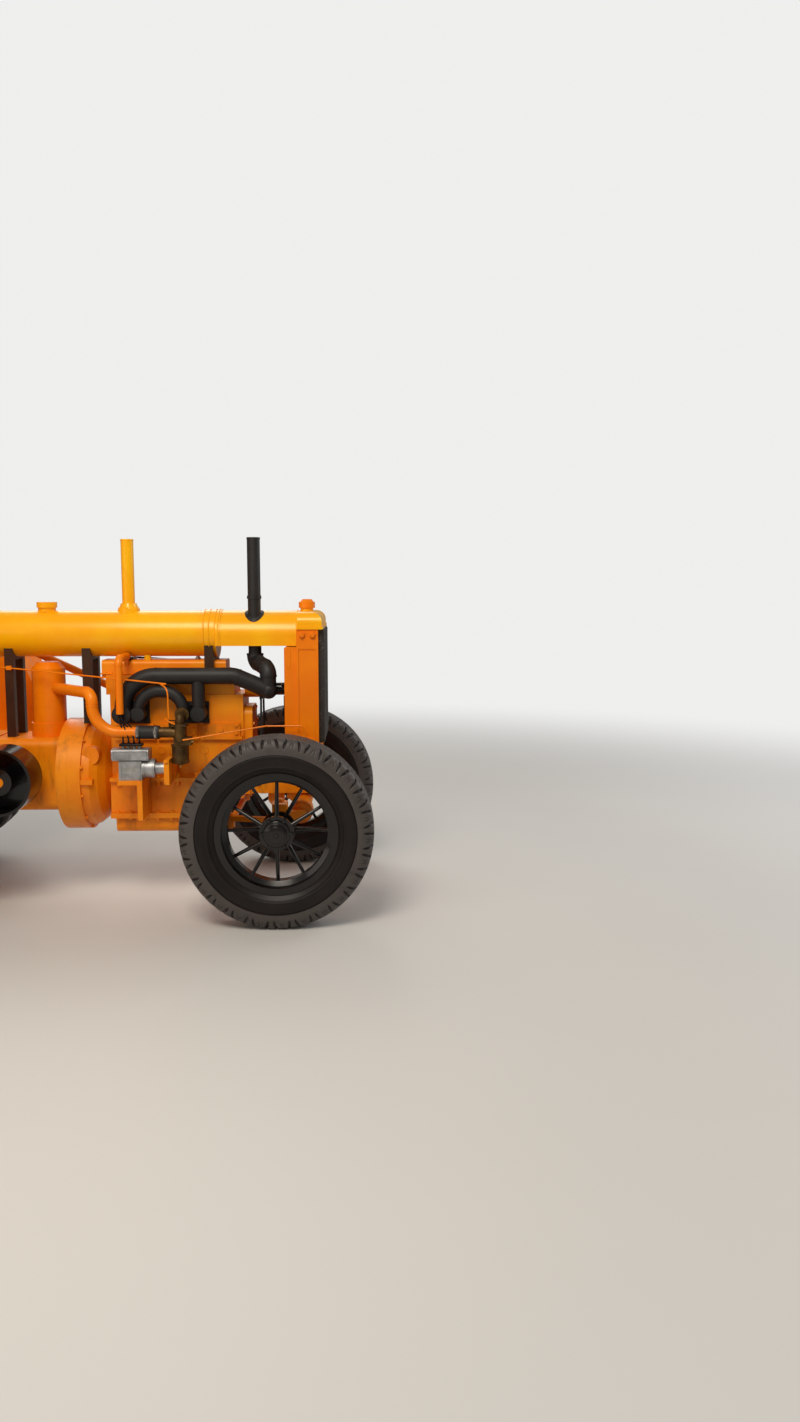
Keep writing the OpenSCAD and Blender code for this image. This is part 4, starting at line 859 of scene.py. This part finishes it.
addPiece("drain_plug_and_unions", *joined(*shapes), brass, root)

# Control rods: throttle, choke and a short one between, with the brackets that end the first two
controls = {
    "throttle": [(-1268, -94, 1083), (-1254, -97.2, 1081.9), (-570, -256, 1028), (-540, -266, 1022),
                 (-512, -294, 1006), (-503, -302, 980), (-502, -303, 940), (-500, -303, 872)],
    "choke": [(-430, -318, 778), (-408, -316, 780), (-90, -266, 828), (-60, -262, 830), (70, -262, 830),
              (92, -262, 829), (103, -262, 818), (104, -262, 800), (104, -262, 764)],
    "link": [(-470, -322, 848), (-500, -322, 862), (-516, -300, 872)]}
shapes = [sweep(smoothLine([front(*p) for p in line], 4), 3.4 * mm, 8) for line in controls.values()]
shapes += [brick(front(98, -268, 756), front(110, -230, 764)),
           brick(front(-1280, -98, 1074), front(-1256, -84, 1093))]
addPiece("control_rods", *joined(*shapes), frameOrange, root)
print("tractor: pipes, leads and rods made")

# Bolts and nuts, their sizes as (across corners, height, washer)
engineRear, caseFront = -802, -976
engine = {"panEdge": 169, "panBolts": (413.7, 390), "splitHalf": 168, "split": (593, 553), "shelf": -672,
          "splitPlaces": (-762, -582, -492, -402, -312), "ports": (-557, 880), "coverHalf": 134}
frameSide = {"rail": 150.2, "railZ": 548, "shell": 232.2}


def ringSpots(place, radius, count, axis, start=0.0):
    turn = Vector((0, 0, 1)).rotation_difference(Vector(axis))
    return [(place + turn @ Vector((radius * mm * math.cos(a), radius * mm * math.sin(a), 0)), axis)
            for a in (start + 2 * math.pi * i / count for i in range(count))]


spots = [(front(x, s * engine["panEdge"], z), (0, 0, 1 if z > 400 else -1))
         for x in range(engineRear + 30, -330, 62) for s in (-1, 1) for z in engine["panBolts"]]
boltSet("pan_bolts", spots, (17, 9, 1.25))

# The magneto's shelf takes one split bolt's place, on the right and above
upper, lower = engine["split"]
spots = [(front(x, s * engine["splitHalf"], upper), (0, 0, 1))
         for x in engine["splitPlaces"] for s in (-1, 1)]
spots.append((front(engine["shelf"], engine["splitHalf"], upper), (0, 0, 1)))
spots += [(front(x, s * engine["splitHalf"], lower), (0, 0, -1))
          for x in (-762, engine["shelf"], *engine["splitPlaces"][1:]) for s in (-1, 1)]
boltSet("split_bolts", spots, (22, 12, 1.2), seed=2)

spots = [(rear(-262, s * 98, z), (-1, 0, 0)) for z in (500, 580, 690, 770) for s in (-1, 1)]
spots += ringSpots(rear(-280, 0, 560), 42, 4, (-1, 0, 0), 0.8)
for s in (-1, 1):
    for y, radius in ((228.3, 154), (202, 172)):
        spots += ringSpots(rear(0, s * y, rearRadius), radius, 12, (0, s, 0), 0.13)
boltSet("housing_bolts", spots, (24, 13, 1.22), seed=3)

portX, portZ = engine["ports"]
spots = [(front(portX + dx, -134.4, portZ + dz), (0, -1, 0))
         for dx in (-202, -142, -132, -72, 72, 132, 142, 202) for dz in (-38, 38)]
boltSet("manifold_nuts", spots, (19, 12, 1.3), stoveBlack, seed=4)

spots = [(front(x, s * engine["coverHalf"], z), (0, s, 0))
         for x in (-757, -617, -559, -419, -361, -221) for s in (-1, 1) for z in (779, 816)]
spots += [(front(-149.5, y, z), (1, 0, 0)) for y in (-88, 88) for z in (520, 620, 720, 820)]
spots += [(front(-149.5, y, 885), (1, 0, 0)) for y in (-45, 45)]
spots.append((front(-508, -345, 683), (0, -1, 0)))
boltSet("cover_bolts", spots, (15, 8, 1.25), seed=5)

rail, railZ, shell = frameSide["rail"], frameSide["railZ"], frameSide["shell"]
spots = [(front(x, -rail, railZ), (0, -1, 0)) for x in (-168, -120, 60, 130)]
spots += [(front(x, rail, railZ), (0, 1, 0)) for x in (-168, 110, 150)]
spots += [(front(170.2, s * 130, 550), (1, 0, 0)) for s in (-1, 1)]
spots += [(front(160, s * 178, 639.9), (0, 0, 1)) for s in (-1, 1)]
spots += [(front(x, s * shell, 668), (0, s, 0)) for x in (88, 140) for s in (-1, 1)]
boltSet("frame_bolts", spots, (20, 11, 1.3), seed=6)
spots = [(front(x, s * shell, 1240), (0, s, 0)) for x in (92, 140) for s in (-1, 1)]
boltSet("tank_bolts", spots, (27, 13, 1.2), frameOrange, seed=19)

stackX = pipes["stack"][0]
spots = [(front(stackX + 42 * math.cos(a), 42 * math.sin(a), 1354), (0, 0, 1))
         for a in (0.5 + k * math.pi / 3 for k in range(6))]
boltSet("stack_bolts", spots, (12, 7, 1.2), sheetOrangeWithPaintedHighlight, seed=7)
spots = [(rear(x, s * y, boardTop), (0, 0, 1)) for x in (302, 600) for y in (170, 300, 440) for s in (-1, 1)]
boltSet("board_bolts", spots, (16, 6, 1.3), frameOrange, seed=8)

frontHub = [(54, 62), (58, 62), (58, 66), (54, 70), (50, 72), (49, 78), (45, 80), (44, 84), (38, 86),
            (37.5, 92), (34, 95), (20, 97), (12, 96.5), (10, 99), (0, 99.5), (0, 62)]
for side, s in sides:
    frontBody, rearBody = f"front_wheel_{side}", f"rear_wheel_{side}"
    spots = ringSpots(front(0, s * (frontHalfTrack + 56.4), frontRadius), 63, 6, (0, s, 0))
    boltSet(f"front_hub_nuts_{side}", spots, (17, 10, 1.2), wheelBlack, frontBody, 9)
    spots = ringSpots(rear(0, s * (rearHalfTrack + 93), rearRadius), 96, 8, (0, s, 0))
    boltSet(f"rear_hub_nuts_{side}", spots, (24, 14, 1.2), wheelBlack, rearBody, 10)
    hub = turned(frontHub, 48, front(0, s * frontHalfTrack, frontRadius), (0, s, 0))
    addPiece(f"front_hub_rings_{side}", *hub, wheelBlack, frontBody, 28)

# Front spokes swell towards the hub, and lean to its two flanges in turn
# Their ends are (place across, distance from the axle, radius of the spoke)
spokes = {"pairs": 6, "sides": 14, "hub": (48, 60, 10), "rim": (8.4, 230, 7.4)}


def spokePair(size, hand):
    (hubAcross, hubRadius, hubThick), (rimAcross, rimRadius, rimThick) = size["hub"], size["rim"]
    count = size["sides"]
    vertices, faces = [], []
    for number, lean in enumerate((hand, -hand)):
        turn = Matrix.Rotation(math.pi * number / size["pairs"], 3, "Y")
        low, high = Vector((0, lean * hubAcross, hubRadius)), Vector((0, lean * rimAcross, rimRadius))
        along = (high - low).normalized()
        first = len(vertices)
        for place, thick in ((low, hubThick), (high, rimThick)):
            for k in range(count):
                a = 2 * math.pi * k / count
                across = Vector((math.cos(a), 0, 0)) + along.cross(Vector((1, 0, 0))) * math.sin(a)
                vertices.append(turn @ (place + across * thick) * mm)
        faces += bridge(first, first + count, count)
        faces.append(tuple(first + k for k in reversed(range(count))))
        faces.append(tuple(first + count + k for k in range(count)))
    return newMesh("spoke pair", vertices, faces)


for side, s in sides:
    ring.make(f"front_spokes_{side}", spokePair(spokes, s), wheelBlack, f"front_wheel_{side}", 40,
              Count=spokes["pairs"], Start_Turn=0.0, Centre=front(0, s * frontHalfTrack, frontRadius))
print("tractor: bolts and spokes placed")

# Radiator face, its side brackets and the belt behind it
face = {"x": 189.5, "low": 752, "high": 1258, "half": 203, "fin": (188, 190.5, 1.1), "pitch": 6,
        "tubePitch": 14.5, "tubes": 29}
back, nose, tall = (size * mm for size in face["fin"])
fin = newMesh("fin", *brick((back, -face["half"] * mm, 0), (nose, face["half"] * mm, tall)))
row.make("radiator_fins", fin, coreBlack, root, First=front(0, 0, face["low"]),
         Step=(0, 0, face["pitch"] * mm), Count=int((face["high"] - face["low"]) / face["pitch"]))
tube = newMesh("tube", *turned(rod(1.9, face["low"], face["high"]), 8))
row.make("radiator_tubes", tube, coreBlack, root, First=front(face["x"], -face["half"], 0),
         Step=(0, face["tubePitch"] * mm, 0), Count=face["tubes"])
tabs = [brick(front(22, s * 214, 1090), front(40, s * 222, 1186)) for s in (-1, 1)]
tabs += [brick(front(36, s * 214, z), front(68, s * 219, z + 26)) for s in (-1, 1) for z in (1104, 1150)]
rounded(addPiece("radiator_brackets", *joined(*tabs), frameOrange, root), 0.0012)

belt = {"x": -113, "top": (975, 51.8), "bottom": (560, 85.8), "steps": 28,  # pulleys: height, radius
        "section": ((-3.4, -3.4), (3.4, -3.4), (5.0, 3.6), (-5.0, 3.6))}


def beltLoop(belt):
    (zTop, rTop), (zBottom, rBottom) = belt["top"], belt["bottom"]
    lean = math.asin((rBottom - rTop) / (zTop - zBottom))
    arcs = [(zTop, rTop, a) for a in np.linspace(lean, math.pi - lean, belt["steps"])]
    arcs += [(zBottom, rBottom, a) for a in np.linspace(math.pi - lean, 2 * math.pi + lean, belt["steps"])]
    vertices, faces = [], []
    for i, (z, r, a) in enumerate(arcs):
        for x, lift in belt["section"]:
            vertices.append(front(belt["x"] + x, (r + lift) * math.cos(a), z + (r + lift) * math.sin(a)))
        faces += bridge(i * 4, (i + 1) % len(arcs) * 4, 4)
    return vertices, faces


addPiece("fan_belt", *beltLoop(belt), hoseRubber, root, 50)

# Rocker cover's lip and nuts, core plugs and oil filler
lip = brick(front(-853, -82, 1051), front(-268, 82, 1057))
rounded(addPiece("rocker_cover_lip", *lip, castings, root), 0.0015)
domedNut = [(0, 0), (13, 0), (13, 7), (9, 9), (8, 15), (5, 18), (0, 19)]
shapes = [turned([(r, 1115.5 + z) for r, z in domedNut], 18, front(x, 0, 0)) for x in (-712, -412)]
addPiece("rocker_cover_nuts", *joined(*shapes), plated, root)
corePlug = [(0, -2), (19, -2), (19, 3), (17, 3.6), (15.5, 1.2), (0, 1.2)]
shapes = [turned(corePlug, 28, front(x, s * 120, 700), (0, s, 0))
          for s in (-1, 1) for x in (-770, -570, -372)]
addPiece("core_plugs", *joined(*shapes), castings, root)
filler = [(0, 590), (21, 590), (21, 706), (29, 708), (29, 722), (24, 727), (8, 728), (7, 736), (0, 737)]
addPiece("oil_filler", *turned(filler, 32, front(-270, 158, 0)), castings, root)

# Covers' bolts, and the nuts of the kingpins and the tie rod's studs
cover = brick(front(-1580, -98, 759), front(-1330, 98, 768))
rounded(addPiece("gearbox_cover", *cover, castings, root), 0.002)
spots = [(front(x, s * 86, 768), (0, 0, 1)) for x in (-1566, -1490, -1414, -1344) for s in (-1, 1)]
boltSet("gearbox_cover_bolts", spots, (18, 9, 1.25), seed=11)
spots = [(front(x, s * 77, 1057), (0, 0, 1)) for x in range(-830, -270, 78) for s in (-1, 1)]
boltSet("rocker_cover_bolts", spots, (9, 5, 1.2), seed=12)
bell = {"x": caseFront + 60, "z": 575, "radius": 254, "bolts": 12}
spots = [(front(bell["x"], 0, bell["z"]) + Vector((0, math.cos(a), math.sin(a))) * bell["radius"] * mm,
          (1, 0, 0)) for a in (math.radians(15 + 30 * i) for i in range(bell["bolts"]))]
boltSet("bell_bolts", spots, (14, 9, 1.1), seed=13)
kingpin = {"y": 395, "top": 511, "foot": 365, "studX": -225, "studTop": 449, "studFoot": 390}
for side, s in sides:
    y = s * kingpin["y"]
    spots = [(front(0, y, kingpin["top"]), (0, 0, 1)), (front(0, y, kingpin["foot"]), (0, 0, -1))]
    boltSet(f"kingpin_nuts_{side}", spots, (34, 13, 1.15), castings, f"knuckle_{side}", 14)
    spots = [(front(kingpin["studX"], y, kingpin["studFoot"]), (0, 0, -1)),
             (front(kingpin["studX"], y, kingpin["studTop"]), (0, 0, 1))]
    boltSet(f"stud_nuts_{side}", spots, (24, 12, 1.15), castings, f"knuckle_{side}", 15)

# Fenders: rolled edges, pressed ribs, rivets and the straps that hold them
fender = {"radius": 747, "skirt": 487, "width": 310, "first": -6, "last": 144, "ribs": (104, 206), "rib": 3.2,
          "edge": 5.5, "straps": (-70, 46), "strapWide": 24, "housing": 838}


def fenderSpot(radius, a, y):
    return rear(radius * math.cos(a), y, rearRadius + radius * math.sin(a))


def fenderArc(radius, y):
    return [fenderSpot(radius, a, y) for a in np.radians(np.linspace(fender["first"], fender["last"], 60))]


for side, s in sides:
    skirt, outer, high = fender["skirt"], fender["skirt"] + fender["width"] - 2, fender["housing"]
    shapes = [sweep(fenderArc(fender["radius"], s * outer), fender["edge"] * mm, 10)]
    shapes += [sweep(fenderArc(fender["radius"] + 0.5, s * (skirt + across)), fender["rib"] * mm, 8)
               for across in fender["ribs"]]
    for a in (math.radians(fender["first"]), math.radians(fender["last"])):
        ends = [fenderSpot(fender["radius"], a, s * y) for y in (skirt, outer)]
        shapes.append(sweep(ends, fender["edge"] * mm, 10))
    for x in fender["straps"]:
        end = x + fender["strapWide"]
        shapes.append(brick(rear(x, s * 300, high - 7.7), rear(end, s * 486.5, high)))
        shapes.append(brick(rear(x, s * 479, high), rear(end, s * 486.5, 1010)))
    addPiece(f"fender_edges_{side}", *joined(*shapes), frameOrange, root, 50)
    spots = [(fenderSpot(fender["radius"] + 0.8, a, s * (skirt + 12)), (math.cos(a), 0, math.sin(a)))
             for a in np.radians(np.arange(-2, 144, 6))]
    boltSet(f"fender_rivets_{side}", spots, (9, 3.5, 1.0), frameOrange, seed=16)
    middles = [x + fender["strapWide"] / 2 for x in fender["straps"]]
    spots = [(rear(x, s * 479, z), (0, -s, 0)) for x in middles for z in (900, 980)]
    spots += [(rear(x, s * 318, high), (0, 0, 1)) for x in middles]
    boltSet(f"fender_bolts_{side}", spots, (18, 9, 1.3), frameOrange, seed=17)

# Raised tread on the foot boards and the platform
tread = {"long": 15, "wide": 4, "high": 2.4, "sunk": 0.6, "taper": 0.72, "pitch": 30, "first": 284}


def lozenges(ys):
    shapes = []
    for number, y in enumerate(ys):
        lean = math.radians(45 if number % 2 else -45)
        along = Vector((math.cos(lean), math.sin(lean), 0))
        side = Vector((-math.sin(lean), math.cos(lean), 0))
        corners = [along * tread["long"], side * tread["wide"], along * -tread["long"], side * -tread["wide"]]
        points = [Vector((0, y, boardTop - tread["sunk"])) + corner for corner in corners]
        points += [Vector((0, y, boardTop + tread["high"])) + corner * tread["taper"] for corner in corners]
        walls = [(k, (k + 1) % 4, (k + 1) % 4 + 4, k + 4) for k in range(4)]
        shapes.append(([point * mm for point in points], [(3, 2, 1, 0), (4, 5, 6, 7), *walls]))
    return newMesh("tread row", *joined(*shapes))


def treadRows(name, x, count, ys):
    row.make(name, lozenges(ys), frameOrange, root, 30, First=rear(x, 0, 0), Step=(tread["pitch"] * mm, 0, 0),
             Count=count)


for side, s in sides:
    treadRows(f"board_tread_{side}", tread["first"], 12, [s * y for y in (172, *range(292, 480, 30))])
    treadRows(f"board_tread_pedal_{side}", tread["first"], 8, [s * y for y in (202, 232, 262)])
treadRows("platform_tread", -434, 6, list(range(-465, 470, 30)))
print("tractor: sheet metal details made")

# Seat with its rim and holes, which are given as grid ring: cells from one hole to the next
pan = {"x": -150, "base": 1015, "outer": [(0, 0), (118.25, 4), (184.9, 34), (215, 72)],
       "lid": [(0, 4), (116.1, 8), (180.6, 38), (211, 75)], "steps": 96, "rings": 33,
       "holes": {6: 6, 7: 6, 10: 6, 11: 6, 14: 4, 15: 4, 18: 4, 19: 4, 22: 4, 23: 4, 26: 4, 27: 4}}


def seatPan(pan):
    # The pan's two skins on one grid of rings; cells left out of both become holes with their own walls
    steps, rings = pan["steps"], pan["rings"]

    def skin(line):
        reach = np.cumsum([0] + [math.dist(p, q) for p, q in zip(line, line[1:])])
        spots = np.linspace(reach[-1] * 0.1, reach[-1], rings)
        radii, heights = zip(*line)
        return [(np.interp(s, reach, radii), np.interp(s, reach, heights)) for s in spots]

    def cut(k, i):
        return k in pan["holes"] and (i + (k // 4) * 2) % pan["holes"][k] < pan["holes"][k] // 2

    def spot(side, k, i):
        return side * steps * rings + k * steps + i % steps

    vertices, faces = [], []
    for r, z in skin(pan["outer"]) + skin(pan["lid"]):
        vertices += [rear(pan["x"] + r * math.cos(a), r * math.sin(a), pan["base"] + z)
                     for a in (2 * math.pi * i / steps for i in range(steps))]
    vertices += [rear(pan["x"], 0, pan["base"]), rear(pan["x"], 0, pan["base"] + 4)]
    below, above, edge = len(vertices) - 2, len(vertices) - 1, rings - 1
    for i in range(steps):
        faces += [(spot(0, 0, i), spot(0, 0, i + 1), below), (spot(1, 0, i + 1), spot(1, 0, i), above),
                  (spot(0, edge, i), spot(0, edge, i + 1), spot(1, edge, i + 1), spot(1, edge, i))]
        for k in range(edge):
            if not cut(k, i):
                faces += [(spot(side, k, i), spot(side, k + 1, i), spot(side, k + 1, i + 1),
                           spot(side, k, i + 1)) for side in (0, 1)]
                continue
            walls = [(k - 1, i, (k, i), (k, i + 1)), (k + 1, i, (k + 1, i), (k + 1, i + 1)),
                     (k, i - 1, (k, i), (k + 1, i)), (k, i + 1, (k, i + 1), (k + 1, i + 1))]
            faces += [(spot(0, *p), spot(0, *q), spot(1, *q), spot(1, *p)) for level, turn, p, q in walls
                      if not cut(level, turn % steps)]
    return vertices, faces


seatSkin = addPiece("seat_pan_with_holes", *seatPan(pan), wheelBlack, root, 40)
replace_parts(seatSkin, "seat")
addPiece("seat_rim", *hoop(212.5, 4, rear(pan["x"], 0, 1088), (0, 0, 1)), wheelBlack, root, 60)
spots = [(rear(pan["x"] + x, y, pan["base"] + 4), (0, 0, 1)) for x in (-9, 9) for y in (-9, 9)]
boltSet("seat_bolts", spots, (11, 5, 1.2), plated, seed=18)

# Steering wheel's nut, on the column's own line, and the rear hubs' caps
column = {"foot": front(-60, 195, 590), "tilt": math.radians(25), "length": 1.760}
columnWay = Vector((-math.cos(column["tilt"]), 0, math.sin(column["tilt"])))
wheelNut = [(0, 38), (17, 38), (17, 44), (14, 48), (13, 54), (8, 58), (0, 59)]
shape = turned(wheelNut, 24, column["foot"] + columnWay * column["length"], columnWay)
addPiece("steering_wheel_nut", *shape, plated, "steering_wheel")
hubCap = [(0, 107), (48, 107), (48, 93.5), (68, 93.5), (68, 99), (61, 101), (59, 112), (47, 119), (22, 122),
          (0, 123)]
for side, s in sides:
    cap = turned(hubCap, 40, rear(0, s * rearHalfTrack, rearRadius), (0, s, 0))
    addPiece(f"rear_hub_cap_{side}", *cap, wheelBlack, f"rear_wheel_{side}")
print("tractor: small parts made")
